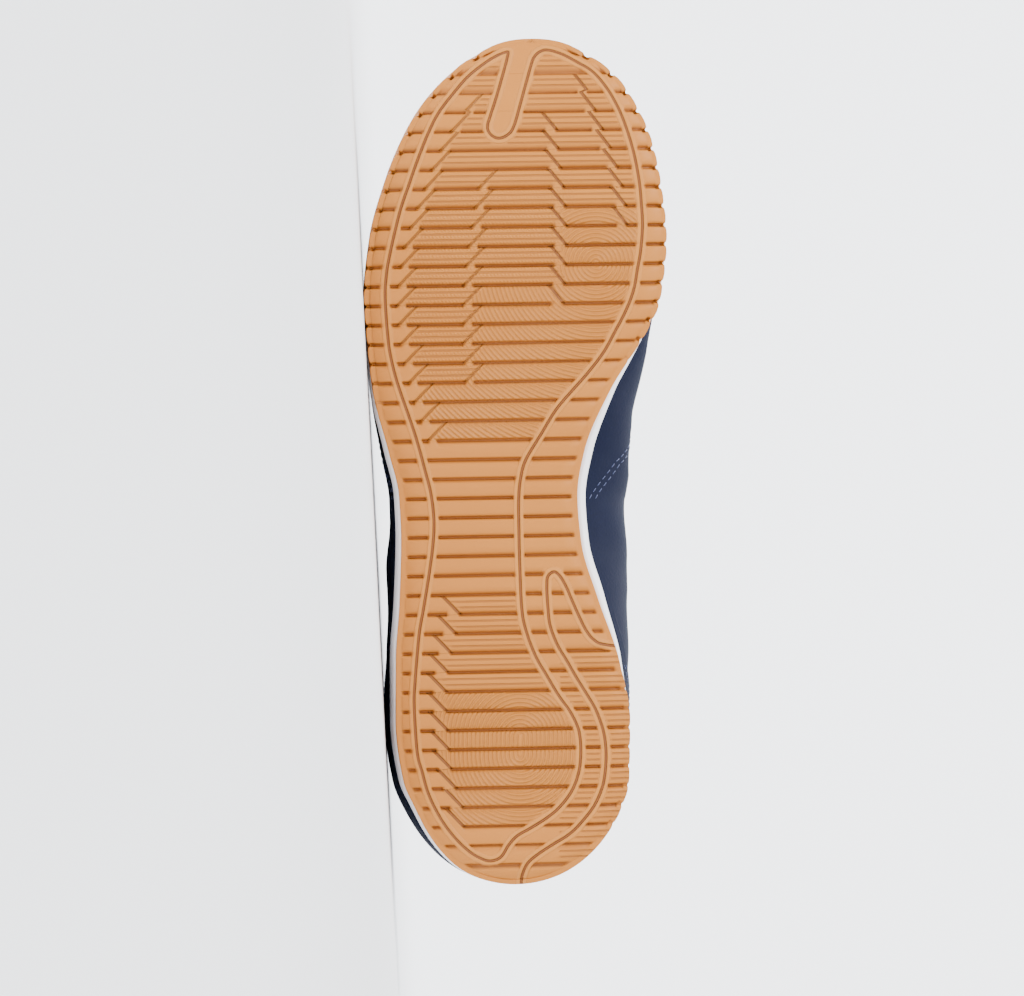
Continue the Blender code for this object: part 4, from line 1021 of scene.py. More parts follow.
def make_sole(tread, colors):
    """Gum sole. Stations across follow every groove's two lips and floor, and each station's line across is even
    between the two edges. Height is the sole's form plus the groove's share times its depth, kept off the drawn
    lines, the bare plate and the waist's edges. The side columns are a quarter round, a wall and a lip."""
    offsets = np.array((-0.85, -0.66, -0.48, -0.30, 0.0, 0.30, 0.48, 0.66, 0.85, 1.7, 3.3, 4.9)) * MM
    places = (FIRST_GROOVE + GROOVE_PITCH * np.arange(GROOVE_COUNT)[:, None] + offsets).ravel()
    heel_end = LENGTH * along_at(np.linspace(0.010, 0.085, 9))
    toe_end = LENGTH * along_at(1 - np.linspace(0.075, 0.008, 8))
    places = places[places < toe_end[-1] - 1.5 * MM]
    places = np.concatenate((heel_end[heel_end < places[0] - 0.2 * MM], places,
                             toe_end[toe_end > places[-1] + 0.2 * MM]))
    inner, outer = sole_turns(places, MEDIAL), sole_turns(places, LATERAL)
    turn = np.concatenate(([0.0], inner, [1.0], outer[::-1]))
    side = np.concatenate((np.full(len(inner) + 2, MEDIAL), np.full(len(outer), LATERAL)))
    place = np.concatenate(([0.0], places, [LENGTH], places[::-1]))
    cut = groove_share(place)
    through = open_at(along_at(turn), side > 0, HEEL_OPENING)
    beat = np.abs(np.sin(np.pi * (place - FIRST_GROOVE) / GROOVE_PITCH))
    notch = through * (0.5 * GROOVE_NOTCH * cut + SCALLOP * (1 - beat) ** 1.5)
    rise = gum_rise(turn)
    rows = []
    for angle in np.radians((0, 18, 36, 54, 72, 90)):
        rows.append((GUM_EDGE * (1 - math.sin(angle)) + notch * (0.35 + 0.65 * math.sin(angle)),
                     EDGE_ROUND * math.cos(angle) + GUM_EDGE * (1 - math.cos(angle))
                     + GROOVE_DEPTH * cut * through * math.cos(angle)))
    for share in (0.35, 0.6, 0.8):
        rows.append((notch * (1 - share) ** 0.5, GUM_EDGE + (rise - 0.6 * MM - GUM_EDGE) * share))
    for inset, drop in ((0.05, 0.35), (0.25, 0.10), (0.6, 0.0), (1.6, 0.0)):
        rows.append((inset * MM, rise - drop * MM))
    rows += [(GUM_SIDE, rise - 0.1 * MM), (GUM_SIDE, TREAD)]
    ring = side_columns(turn, side, rows, lambda x, height: (
        ground(x) + bevel(x) * np.clip(1 - np.asarray(height) / (0.8 * GUM_WALL), 0, 1) + height))
    points, faces, plates = plated(ring, tread.across, 8)
    count, depth = ring.shape[:2]
    used = count * depth
    x, y = points[:, 0], points[:, 1]
    marks, past, land, bar = slant_marks(x, y)
    spots = np.stack((x, y), axis=1)
    line = chart(LONG_LINE)
    long_line = beside(spots, spline(np.concatenate((line, line[:1])), 900))
    heel_line = beside(spots, spline(chart(HEEL_LINE), 360))
    top, foot = chart((PLATE_TOP, PLATE_FOOT))
    f = np.clip(((spots - top) @ (foot - top)) / ((foot - top) @ (foot - top)), 0, 1)
    on_plate = 1 - ease(np.linalg.norm(spots - top - f[:, None] * (foot - top), axis=1), PLATE_HALF - 0.8 * MM,
                        PLATE_HALF)
    flat = np.zeros(len(points), bool)
    flat[plates[0][:, 1:-1].ravel()] = True
    rim_x, rim_y = (np.concatenate(p) for p in zip(*(outline(np.linspace(0, 1, 220)[::way], s)
                                                      for way, s in ((1, MEDIAL), (-1, LATERAL)))))
    rim = np.stack((rim_x, rim_y), axis=1)
    inset = np.abs(beside(spots, rim))
    share = groove_share(x - GROOVE_SKEW * y)
    clear = ease(np.abs(long_line), tread.stop - 0.35 * MM, tread.stop + 0.35 * MM)
    clear = clear * ease(np.abs(heel_line), tread.stop - 0.35 * MM, tread.stop + 0.35 * MM)
    clear = clear * (1 - on_plate) * (1 - land)
    kept = np.maximum(ease(inset, GUM_EDGE + 0.1 * MM, GUM_EDGE + 1.3 * MM), open_at(x / LENGTH, y > 0))
    cuts = share * clear * kept
    soft_line = np.exp(-(long_line / (0.8 * MM)) ** 2) + np.exp(-(heel_line / (0.8 * MM)) ** 2)
    round_off = EDGE_ROUND * np.clip(1 - (inset - GUM_EDGE) / (5 * MM), 0, 1) ** 2
    crown = 0.38 * MM * (1 - share) * np.sin(np.pi * (bar - np.floor(bar)))
    crown = (0.30 * MM - crown) * ease(inset, GUM_EDGE, GUM_EDGE + 2 * MM) * clear
    rise_by = GROOVE_DEPTH * cuts + 0.22 * MM * soft_line + crown * (1 - share) + round_off
    points[flat, 2] = ground(x[flat]) + bevel(x[flat]) + rise_by[flat]
    # Painted shade carried by the cut mark: the groove share on the tread, fading down the gum's rounded edge
    shade = np.where(flat, cuts, 0.0)
    down_the_edge = np.array([1, 0.9, 0.75, 0.6, 0.45, 0.3] + [0] * (depth - 6))
    shade[:used] = ((cut * through)[:, None] * down_the_edge).ravel()

    # The tread's own skin is its plate and the rounded edge's six rows; every other mark stays off
    skin = flat.copy()
    skin[:used].reshape(count, depth)[:, :6] = True
    fine, phase = fine_relief(x, y, bar, past, long_line, heel_line, on_plate)
    values = {"cut": shade, "bar": bar, "across": y, "phase": phase,
              "long_line": np.where(skin, long_line, FAR), "heel_line": np.where(skin, heel_line, FAR)}
    for k, away in enumerate(marks):
        values["slant_%d" % k] = np.where(inset < GUM_EDGE + 0.4 * MM, OFF, away) + np.where(skin, 0.0, FAR)
    for key, pattern in fine.items():
        values[key] = np.where(skin, pattern, 0.0)
    piece = put("gum_sole", points, faces, [gum_rubber(tread, colors)], marks=values)
    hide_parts("outsole")
    return piece


def make_foam(colors):
    """Foam wedge: a block in the gum cup, then a band whose side is a half ellipse bulging past the wall."""
    turn, side = loop(220)
    x = outline(turn, side)[0]
    block = np.full_like(turn, GUM_SIDE + GAP)
    shown = foam_shown(turn, side)
    outer = foam_inset(turn, side)
    foot = block + shown * (-0.35 * flare(turn, side) - block)
    top = stack(x)
    shelf = np.minimum(gum_rise(turn) + 0.55 * MM, top - 1.4 * MM)
    rows = [(block, np.full_like(turn, TREAD + GAP)), (block, shelf - 0.5 * MM), (block, shelf),
            (foot + 0.6 * MM, shelf + 0.15 * MM)]
    for f in np.linspace(0, 1, 12):
        swell = math.sin(math.pi * f) * 0.35 * MM
        reach = foot + (outer - foot) * (1 - (1 - f) ** 1.6)
        rows.append((reach - swell * shown, shelf + 0.25 * MM + (top - 0.9 * MM - shelf - 0.25 * MM) * f))
    for angle in np.radians((30, 60, 90)):
        rows.append((outer + 0.9 * MM * (1 - math.cos(angle)), top - 0.9 * MM * (1 - math.sin(angle))))
    ring = side_columns(turn, side, rows, lambda x, height: ground(x) + height)
    points, faces, _ = plated(ring, 8, 12)
    piece = put("foam_midsole", points, faces, [eva_foam(colors)])
    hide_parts("midsole")
    return piece


# ---------------------------------------------------------------- upper

def panel_edges(turn, reach):
    """Heights up each wall line of the lower panel's edge and the eyestay's edge, and how raised each is."""
    panel = column(PANELS, lambda r: r.reach, turn, flat=True)
    raised = column(PANELS, lambda r: r.raised, turn, flat=True)
    stay = reach[:, -1] - EYESTAY_WIDTH
    panel = np.minimum(panel, stay - 1.4 * MM)
    return panel, raised, stay, 1 - at_collar(turn)


def fold_depth(x, side, level):
    """Depth of the soft folds: each is a bell across its width, fading towards its two ends."""
    total = np.zeros_like(level)
    for fold in FOLDS:
        dx, dz = x - fold.along * LENGTH, level - fold.up
        a = math.radians(fold.lean)
        run = dx * math.cos(a) + dz * math.sin(a)
        off = -dx * math.sin(a) + dz * math.cos(a) + 0.004 * np.sin(run / (14 * MM))
        bell = np.exp(-(off / (0.5 * fold.width)) ** 2) * np.exp(-(run / (0.5 * fold.length)) ** 4)
        total += np.where(side == fold.side, fold.depth * bell, 0)
    return total


def wall_face(turn, side, level, reach):
    """Points and normals of the outer wall at levels up each line, with its raised panels and soft folds."""
    panel, raised, stay, banded = (v[:, None] for v in panel_edges(turn, reach))
    t = share_at(reach, level)
    sides = np.broadcast_to(np.asarray(side)[:, None], t.shape)
    turns = np.broadcast_to(np.asarray(turn)[:, None], t.shape)
    at, normal = last(turns, sides, t), last_normal(turns, sides, t)
    low = raised * (1 - ease(level, panel - 0.35 * MM, panel + 0.35 * MM)) * ease(level, 0, 4 * MM)
    high = banded * ease(level, stay - 0.35 * MM, stay + 0.35 * MM)
    lift = OVERLAY * np.maximum(low, high) - fold_depth(at[..., 0], sides, level)
    # Painted shade: a narrow band on the wall at the foot of each raised panel's edge, kept as the step mark
    near_panel = raised * np.exp(-((level - panel - 0.3 * MM) / (0.5 * MM)) ** 2)
    near_stay = banded * np.exp(-((level - stay + 0.3 * MM) / (0.5 * MM)) ** 2)
    marks = {"raised": np.maximum(low, high), "step": 0.6 * np.maximum(near_panel, near_stay)}
    return at + normal * lift[..., None], normal, at, marks


def eyelet_places():
    """Place and normal on each side of every lace hole, from the throat's top to the vamp."""
    turns = rim_turn(np.linspace(1.04 * THROAT_TOP, 0.955 * VAMP_POINT, EYELET_ROWS))
    pairs = {}
    for side in (LATERAL, MEDIAL):
        sides = np.full(len(turns), side)
        reach = reaches(turns, sides)
        t = share_at(reach, reach[:, -1:] - EYELET_INSET)[:, 0]
        pairs[side] = (last(turns, sides, t), last_normal(turns, sides, t))
    return pairs


def open_holes(points, holes, bore, reach):
    """Points pushed away from each hole's axis: at distance r they go to bore plus r times what is left."""
    points = points.copy()
    for centre, normal in holes:
        away = points - centre
        deep = (away @ normal)[:, None] * normal
        flat = away - deep
        r = np.linalg.norm(flat, axis=1)
        near = (r < reach) & (np.abs(away @ normal) < 6 * MM)
        moved = bore + r[near] * (1 - bore / reach)
        points[near] = centre + deep[near] + unit(flat[near]) * moved[:, None]
    return points


def make_upper(upper, colors):
    """Hollow upper. Its columns go round the shoe and its rows up the last's wall lines, closer at each panel's
    edge. Over the top edge the rows make half a circle, and come down the inner face one wall's thickness in."""
    turn, side = loop(230)
    reach = reaches(turn, side)
    panel, _, stay, _ = panel_edges(turn, reach)
    tall = reach[:, -1]
    step = 0.35 * MM
    spans = [
        (np.zeros_like(tall), panel - step, 22), (panel - 0.5 * step, panel + 0.5 * step, 2),
        (panel + step, stay - step, 34), (stay - 0.5 * step, stay + 0.5 * step, 2), (stay + step, tall, 18),
    ]
    level = np.concatenate([a[:, None] + (b - a)[:, None] * np.linspace(0, 1, n) for a, b, n in spans], axis=1)
    face, normal, bare, marks = wall_face(turn, side, level, reach)
    keep = np.arange(level.shape[1] - 1, -1, -3)
    inner_level = level[:, keep]
    folds = fold_depth(bare[:, keep, 0], side[:, None], inner_level)
    inner = bare[:, keep] - normal[:, keep] * (WALL - 0.25 * MM + 0.5 * folds)[..., None]
    centre = (face[:, -1] + inner[:, 0]) / 2
    half = (face[:, -1] - inner[:, 0]) / 2
    rising = unit(last(turn, side, 1.0) - last(turn, side, 0.97)) * np.linalg.norm(half, axis=1)[:, None]
    bend = [centre + half * math.cos(a) + rising * math.sin(a)
            for a in np.radians((22, 45, 68, 90, 112, 135, 158))]
    points = np.concatenate((face, np.stack(bend, axis=1), inner), axis=1)
    count, rows = points.shape[:2]
    ids = np.arange(count * rows).reshape(count, rows)
    ids = np.concatenate((ids, ids[:, :1]), axis=1)
    quads = grid_quads(ids, True)
    flat = points.reshape(-1, 3)
    holes = [(p, n) for places, normals in eyelet_places().values() for p, n in zip(places, normals)]
    flat = open_holes(flat, holes, EYELET_BORE / 2, 5.5 * MM)
    centres = flat[quads].mean(axis=1)
    solid = np.ones(len(quads), bool)
    for place, axis in holes:
        away = centres - place
        r = np.linalg.norm(away - (away @ axis)[:, None] * axis, axis=1)
        solid &= ~((r < 0.92 * EYELET_BORE / 2) & (np.abs(away @ axis) < 5 * MM))
    row_of = np.tile(np.arange(rows), count)
    slots = np.where(row_of >= level.shape[1] + 5, 1, 0)[solid]
    values = {}
    for key, found in marks.items():
        full = np.zeros((count, rows))
        full[:, :level.shape[1]] = found
        full[:, level.shape[1]:level.shape[1] + 5] = found[:, -1:]
        values[key] = full.ravel()
    reach_full = np.concatenate((level, np.repeat(tall[:, None], 7, axis=1), inner_level), axis=1)
    values["cloth"] = np.stack((flat[:, 0], reach_full.ravel(), np.zeros(len(flat))), axis=1)
    finishes = [synthetic_leather(upper, colors), knit("warp_knit_lining", upper.knit, tuple(colors.lining))]
    piece = put("shoe_upper", flat, [quads[solid]], finishes, slots=slots, marks=values)
    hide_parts("upper")
    return piece


def make_collar(upper, colors):
    """Collar pad: at each place round the ankle its section is a flat back against the wall and a front that
    bulges by the pad's thickness times the sine of the way down, to the power 0.7."""
    collar_end = float(rim_turn(0.93 * THROAT_TOP, 600))
    run = np.linspace(-collar_end, collar_end, 190)
    turn, side = np.abs(run), np.where(run >= 0, MEDIAL, LATERAL)
    reach = reaches(turn, side)
    taper = ease(collar_end - turn, 0.0, 0.07)
    down = np.linspace(0, 1, 26)
    level = reach[:, -1:] - (0.6 * MM + (COLLAR_PAD + 4 * MM) * down[None, :] * (0.35 + 0.65 * taper[:, None]))
    t = share_at(reach, level)
    sides, turns = np.broadcast_to(side[:, None], t.shape), np.broadcast_to(turn[:, None], t.shape)
    at, normal = last(turns, sides, t), last_normal(turns, sides, t)
    back = at - normal * (WALL - 0.05 * MM)
    bulge = upper.pad * (0.25 + 0.75 * taper[:, None]) * np.sin(np.pi * down) ** 0.7
    front = back - normal * (bulge + 0.02 * MM)[..., None]
    rings = np.concatenate((back, front[:, ::-1]), axis=1)
    points, faces = tube(rings)
    cloth = np.zeros((len(points), 3))
    along = np.repeat((turn * side * 0.45)[:, None], 52, axis=1)
    cloth[:along.size, 0] = along.ravel()
    cloth[:along.size, 1] = np.concatenate((level, level[:, ::-1]), axis=1).ravel()
    piece = put("collar_pad", points, faces, [knit("warp_knit_collar", upper.knit, tuple(colors.textile))],
                marks={"cloth": cloth})
    return piece


def tongue_rows():
    """The tongue's sections: under the eyestay on each side and crowned across the throat, then free above it."""
    first = float(rim_turn(1.02 * THROAT_TOP))
    turns = np.linspace(first, 1, 9)
    tuck = TONGUE_TUCK * (0.55 + 0.45 * ease(along_at(turns), 0.45, 0.60))
    sunk = 1 - ease(turns, first, first + 0.12)
    under = WALL + TONGUE_ROOM + TONGUE_SINK * sunk
    sides = {}
    for side in (LATERAL, MEDIAL):
        both = np.full(len(turns), side)
        reach = reaches(turns, both)
        levels = reach[:, -1:] - np.stack((tuck, 0.5 * tuck, np.full_like(tuck, 0.3 * MM)), axis=1)
        t = share_at(reach, levels)
        at = last(turns[:, None], both[:, None], t)
        sides[side] = at - last_normal(turns[:, None], both[:, None], t) * under[:, None, None]
    a, b = sides[LATERAL][:, -1], sides[MEDIAL][:, -1]
    width = np.linalg.norm(b - a, axis=1)
    up = unit(np.cross(unit(b - a), np.array((0.8, 0.0, -0.6))))
    up = np.where(up[:, 2:] > 0, up, -up)
    crown = TONGUE_CROWN * ease(width, 0.35 * THROAT_WIDTH, THROAT_WIDTH) + 0.8 * TONGUE_SINK * sunk
    arch = [a + (b - a) * s + up * (crown * 4 * s * (1 - s))[:, None] for s in (0.25, 0.5, 0.75)]
    seated = np.concatenate((sides[LATERAL], np.stack(arch, axis=1), sides[MEDIAL][:, ::-1]), axis=1)
    root = (seated[0, 2] + seated[0, 6]) / 2
    lean = unit(unit(seated[0, 4] - seated[1, 4]) + np.array((0.12, 0.0, 0.35)))
    across = np.array((0.0, 1.0, 0.0))
    rise = unit(np.cross(lean, across))
    rise = rise if rise[2] > 0 else -rise
    places = np.linspace(-1, 1, 9)
    free = []
    for row in TONGUE_TOP:
        crown = row.crown * (1 - places ** 2) - 1.2 * TONGUE_CROWN
        free.append(root + lean * row.rise + np.outer(places * row.half, across) + np.outer(crown, rise))
    return np.concatenate((np.array(free[::-1]), seated))


def make_tongue(upper, colors):
    """Padded tongue: the sections' curve, read evenly both ways, then a skin that stands off it by an ellipse
    across, with three sewn channels down the exposed part."""
    rows = tongue_rows()[:-1]
    along = spline(rows.reshape(len(rows), -1), 110).reshape(110, 9, 3)
    net = np.stack([spline(line, 57) for line in along])
    du = np.gradient(net, axis=0)
    dv = np.gradient(net, axis=1)
    normal = unit(np.cross(du, dv))
    if normal[40, 28, 2] < 0:
        normal = -normal
    s = np.linspace(-1, 1, 57)
    r = np.linspace(0, 1, 110)
    plump = (1 - np.abs(s) ** 6)[None, :] * (1 - np.clip(1 - r / 0.035, 0, 1) ** 3)[:, None]
    free = (1 - ease(r, 0.20, 0.27))[:, None]
    channel = np.zeros((110, 57))
    for place in (-0.45, 0.0, 0.45):
        channel += np.exp(-((s[None, :] - place) / 0.035) ** 2) * (1 - free) * 0.8
    channel += np.exp(-((r[:, None] - 0.075) / 0.007) ** 2) * (np.abs(s) < 0.86)[None, :]
    puff = free * 0.9 * MM * (1 - s ** 2)[None, :]
    top = net + normal * (puff - 0.65 * MM * channel - 0.5 * TONGUE_WALL * (1 - plump))[..., None]
    low = net - normal * (0.5 * TONGUE_WALL + 0.5 * TONGUE_WALL * plump - 0.2 * MM)[..., None]
    rings = np.concatenate((top, low[:, ::-1]), axis=1)
    points, faces = tube(rings)
    cloth = np.zeros((len(points), 3))
    cloth[:110 * 114, 0] = np.tile(np.concatenate((s, s[::-1])), 110) * 27 * MM
    cloth[:110 * 114, 1] = np.repeat(r, 114) * 115 * MM
    piece = put("tongue_pad", points, faces, [knit("warp_knit_tongue", 1.1 * upper.knit, tuple(colors.textile))],
                marks={"cloth": cloth})
    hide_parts("tongue")
    return piece


def make_sockliner(upper, colors):
    """Sockliner: the foot's outline inside the wall, dished by the square of the way out to its edge."""
    turn, side = loop(150)
    inset = feather_inset(turn, side) + WALL + INSOLE_ROOM
    rows = [(inset + 0.3 * MM, GAP), (inset, GAP + 0.4 * MM), (inset, GAP + 0.7 * INSOLE)]
    for angle in np.radians((30, 60, 90)):
        rows.append((inset + 1.2 * MM * (1 - math.cos(angle)), GAP + INSOLE * 0.7 + 1.2 * MM * math.sin(angle)))
    ring = side_columns(turn, side, rows, lambda x, height: ground(x) + stack(x) + height)
    points, faces, plates = plated(ring, 6, 44)
    top = plates[1]
    dish = -0.5 * MM * (1 - np.linspace(-1, 1, top.shape[1]) ** 2)
    x = points[top, 0]
    points[top, 2] = ground(x) + stack(x) + GAP + INSOLE * 0.7 + 1.2 * MM + dish
    cloth = np.stack((points[:, 0], points[:, 1], 0 * points[:, 0]), axis=1)
    piece = put("sockliner", points, faces, [knit("brushed_sockliner", upper.knit, tuple(colors.lining), 0.8)],
                marks={"cloth": cloth})
    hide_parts("insole")
    return piece


# ---------------------------------------------------------------- lace, eyelets and thread

def ribbon(path, normal, width, thick):
    """Rings of a flat band along a path: each is an oval with squared sides, width across and thick high."""
    run = unit(np.gradient(path, axis=0))
    across = unit(np.cross(normal, run))
    up = np.cross(run, across)
    a = np.linspace(0, 2 * np.pi, 12, endpoint=False)
    c = np.sign(np.cos(a)) * np.abs(np.cos(a)) ** 0.45
    s = np.sign(np.sin(a)) * np.abs(np.sin(a)) ** 0.7
    return (path[:, None] + across[:, None] * (c[None, :, None] * width[:, None, None] / 2)
            + up[:, None] * (s[None, :, None] * thick / 2))


def make_lace(upper, colors):
    """Flat lace: each crossing comes out of one hole, arches over the tongue and dives into the next."""
    places = eyelet_places()
    crossings = [(EYELET_ROWS - 1, LATERAL, EYELET_ROWS - 1, MEDIAL, 0.0)]
    for i in range(EYELET_ROWS - 1):
        crossings += [(i, LATERAL, i + 1, MEDIAL, 1.5 * MM), (i, MEDIAL, i + 1, LATERAL, 0.1 * MM)]
    points, faces, cloth, used = [], [], [], 0
    thick = 1.3 * MM
    for i, one, j, other, lift in crossings:
        a, na = places[one][0][i], places[one][1][i]
        b, nb = places[other][0][j], places[other][1][j]
        span = np.linalg.norm(b - a)
        knots = [a - na * 4.2 * MM, a - na * 1.0 * MM]
        for s in (0.07, 0.25, 0.5, 0.75, 0.93):
            normal = unit(na * (1 - s) + nb * s)
            bulge = 4 * s * (1 - s)
            seat = OVERLAY + LACE_ROOM + 0.5 * thick
            knots.append(a + (b - a) * s + normal * (seat + 0.19 * span * bulge + lift * bulge ** 2))
        knots += [b - nb * 1.0 * MM, b - nb * 4.2 * MM]
        path = spline(np.array(knots), 64)
        f = np.linspace(0, 1, 64)
        normal = unit(na * (1 - f)[:, None] + nb * f[:, None])
        run = unit(np.gradient(path, axis=0))
        tipped = np.where(f < 0.5, 2.0, -2.0) * (1 - ease(np.minimum(f, 1 - f), 0.04, 0.2))
        bent = normal + run * tipped[:, None]
        width = LACE_WIDTH * (0.68 + 0.32 * ease(np.minimum(f, 1 - f), 0.12, 0.24))
        rings = ribbon(path, unit(bent), width, thick)
        skin, quads = tube(rings)
        points.append(skin)
        faces += [block + used for block in quads]
        used += len(skin)
        length_along = np.concatenate(([0], np.cumsum(np.linalg.norm(np.diff(path, axis=0), axis=1))))
        a_round = np.cos(np.linspace(0, 2 * np.pi, 12, endpoint=False)) * LACE_WIDTH / 2
        marks = np.zeros((len(skin), 3))
        marks[:64 * 12, 0] = np.repeat(length_along, 12)
        marks[:64 * 12, 1] = np.tile(a_round, 64)
        cloth.append(marks)
    piece = put("flat_lace", np.concatenate(points), faces, [woven_lace(upper.weave, tuple(colors.lace))],
                marks={"cloth": np.concatenate(cloth)})
    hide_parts("lace")
    return piece


def make_eyelets():
    """Rolled edges of the lace holes: a small closed section turned round each hole's axis, from a flange on the
    eyestay through the hole to a flange inside."""
    section = np.array(((2.05, -0.9), (2.05, 0.75), (2.25, 1.12), (2.9, 1.22), (3.5, 1.02), (3.7, 0.55),
                        (3.0, 0.4), (2.6, 0.0), (2.5, -1.9), (3.4, -2.2), (3.5, -2.7), (2.6, -2.9),
                        (2.1, -2.6))) * MM
    turns = np.linspace(0, 2 * np.pi, 24, endpoint=False)
    points, faces, used = [], [], 0
    for places, normals in eyelet_places().values():
        for place, axis in zip(places, normals):
            u = unit(np.cross(axis, (1.0, 0.0, 0.0)))
            v = np.cross(axis, u)
            spoke = np.cos(turns)[:, None] * u + np.sin(turns)[:, None] * v
            rings = place + spoke[:, None] * section[None, :, :1] + axis * section[None, :, 1:]
            ids = np.arange(rings.shape[0] * rings.shape[1]).reshape(rings.shape[:2])
            faces.append(grid_quads(np.concatenate((ids, ids[:, :1]), axis=1), True) + used)
            points.append(rings.reshape(-1, 3))
            used += ids.size
    leather = bpy.data.materials["embossed_synthetic_leather"]
    marks = {"raised": np.ones(used), "step": np.full(used, 0.35)}
    return put("rolled_eyelets", np.concatenate(points), faces, [leather], marks=marks)


def stitches(path, normal, upper):
    """Points of thread bars along one seam: every stitch is a short eight-sided rod whose ends are drawn in."""
    run = np.concatenate(([0], np.cumsum(np.linalg.norm(np.diff(path, axis=0), axis=1))))
    pitch = upper.stitch + upper.stitch_gap
    count = int(run[-1] / pitch)
    if count < 1:
        return np.zeros((0, 24, 3))
    middle = (np.arange(count) + 0.5) * run[-1] / count
    at = np.stack([np.interp(middle, run, path[:, k]) for k in range(3)], axis=1)
    ahead = np.stack([np.interp(middle + 0.3 * MM, run, path[:, k]) for k in range(3)], axis=1)
    up = unit(np.stack([np.interp(middle, run, normal[:, k]) for k in range(3)], axis=1))
    along = unit(ahead - at + 1e-9)
    across = unit(np.cross(up, along))
    up = np.cross(along, across)
    r = upper.thread / 2
    a = np.linspace(0, 2 * np.pi, 6, endpoint=False)
    rods = []
    for place, size, sink in ((-0.5, 0.55, -0.9), (-0.32, 1.0, 0.15), (0.32, 1.0, 0.15), (0.5, 0.55, -0.9)):
        hub = at + along * upper.stitch * place + up * r * sink
        rods.append(hub[:, None] + r * size * (across[:, None] * np.cos(a)[None, :, None]
                                               + up[:, None] * np.sin(a)[None, :, None]))
    return np.stack(rods, axis=1).reshape(count, 24, 3)


def seam_on_wall(turn, side, level):
    """A seam's path and normals on the outer wall."""
    reach = reaches(turn, side)
    face, normal, _, _ = wall_face(turn, side, np.asarray(level)[:, None], reach)
    return face[:, 0], normal[:, 0]


def make_thread(upper, colors):
    """Seams: two rows inside the toe cap's, counter's and eyestay's edges, one round the collar and two up each
    quarter."""
    seams = []
    for low_along, high_along in ((0.0, 0.255), (0.775, 1.0)):
        for side in (LATERAL, MEDIAL):
            turn = np.linspace(*turn_at(np.array((low_along, high_along))), 160)
            sides = np.full(len(turn), side)
            panel = panel_edges(turn, reaches(turn, sides))[0]
            for row in (upper.seam_inset, upper.seam_inset + upper.seam_rows):
                seams.append(seam_on_wall(turn, sides, np.maximum(panel - row, 1.2 * MM)))
    throat, near = (float(rim_turn(v * THROAT_TOP)) for v in (1.0, 0.99))
    for side in (LATERAL, MEDIAL):
        turn = np.linspace(throat, 1, 240)
        sides = np.full(len(turn), side)
        reach = reaches(turn, sides)
        foot = EYESTAY_WIDTH - upper.seam_inset
        for inset in (2.4 * MM, foot, foot - upper.seam_rows):
            seams.append(seam_on_wall(turn, sides, reach[:, -1] - inset))
        turn = np.linspace(0, near, 240)
        sides = np.full(len(turn), side)
        reach = reaches(turn, sides)
        seams.append(seam_on_wall(turn, sides, reach[:, -1] - 4.5 * MM))
        keys = [s.along for s in QUARTER_SEAM]
        along = np.linspace(keys[0], keys[-1], 160)
        turn = turn_at(along)
        reach = reaches(turn, sides[:160])
        share = smooth(keys, [s.share for s in QUARTER_SEAM], along)
        for offset in (0.0, upper.seam_rows):
            seams.append(seam_on_wall(turn, sides[:160], reach[:, -1] * share + 1.3 * offset))
    rods = np.concatenate([stitches(path, normal, upper) for path, normal in seams])
    ids = np.arange(24).reshape(4, 6)
    wrapped = np.concatenate((ids, ids[:, :1]), axis=1)
    quads = grid_quads(wrapped)
    ends = np.array((ids[0, [0, 1, 2, 3]], ids[0, [0, 3, 4, 5]], ids[3, [3, 2, 1, 0]], ids[3, [5, 4, 3, 0]]))
    block = np.concatenate((quads, ends))
    faces = (block[None] + 24 * np.arange(len(rods))[:, None, None]).reshape(-1, 4)
    return put("seam_thread", rods.reshape(-1, 3), [faces], [sewing_thread(tuple(colors.thread))])


# ---------------------------------------------------------------- stage

CAMERA_TARGET = (132.9 * MM, -1.4 * MM, 0.0)
CAMERA_DISTANCE = 2.4
CAMERA_SIDEWAYS = 5.0
CAMERA_LOWEST = 20 * MM
PICTURE_WIDTH = 1024 * CHART_UNIT
SENSOR = 36.0


def aim(thing, place, target, up):
    """Turns a camera or light at place to look at target, with its top towards up."""
    back = unit(np.asarray(place, float) - np.asarray(target, float))
    right = unit(np.cross(up, back))
    top = np.cross(back, right)
    turned = np.eye(4)
    turned[:3, :3] = np.stack((right, top, back), axis=1)
    turned[:3, 3] = place
    thing.matrix_world = Matrix(turned.tolist())


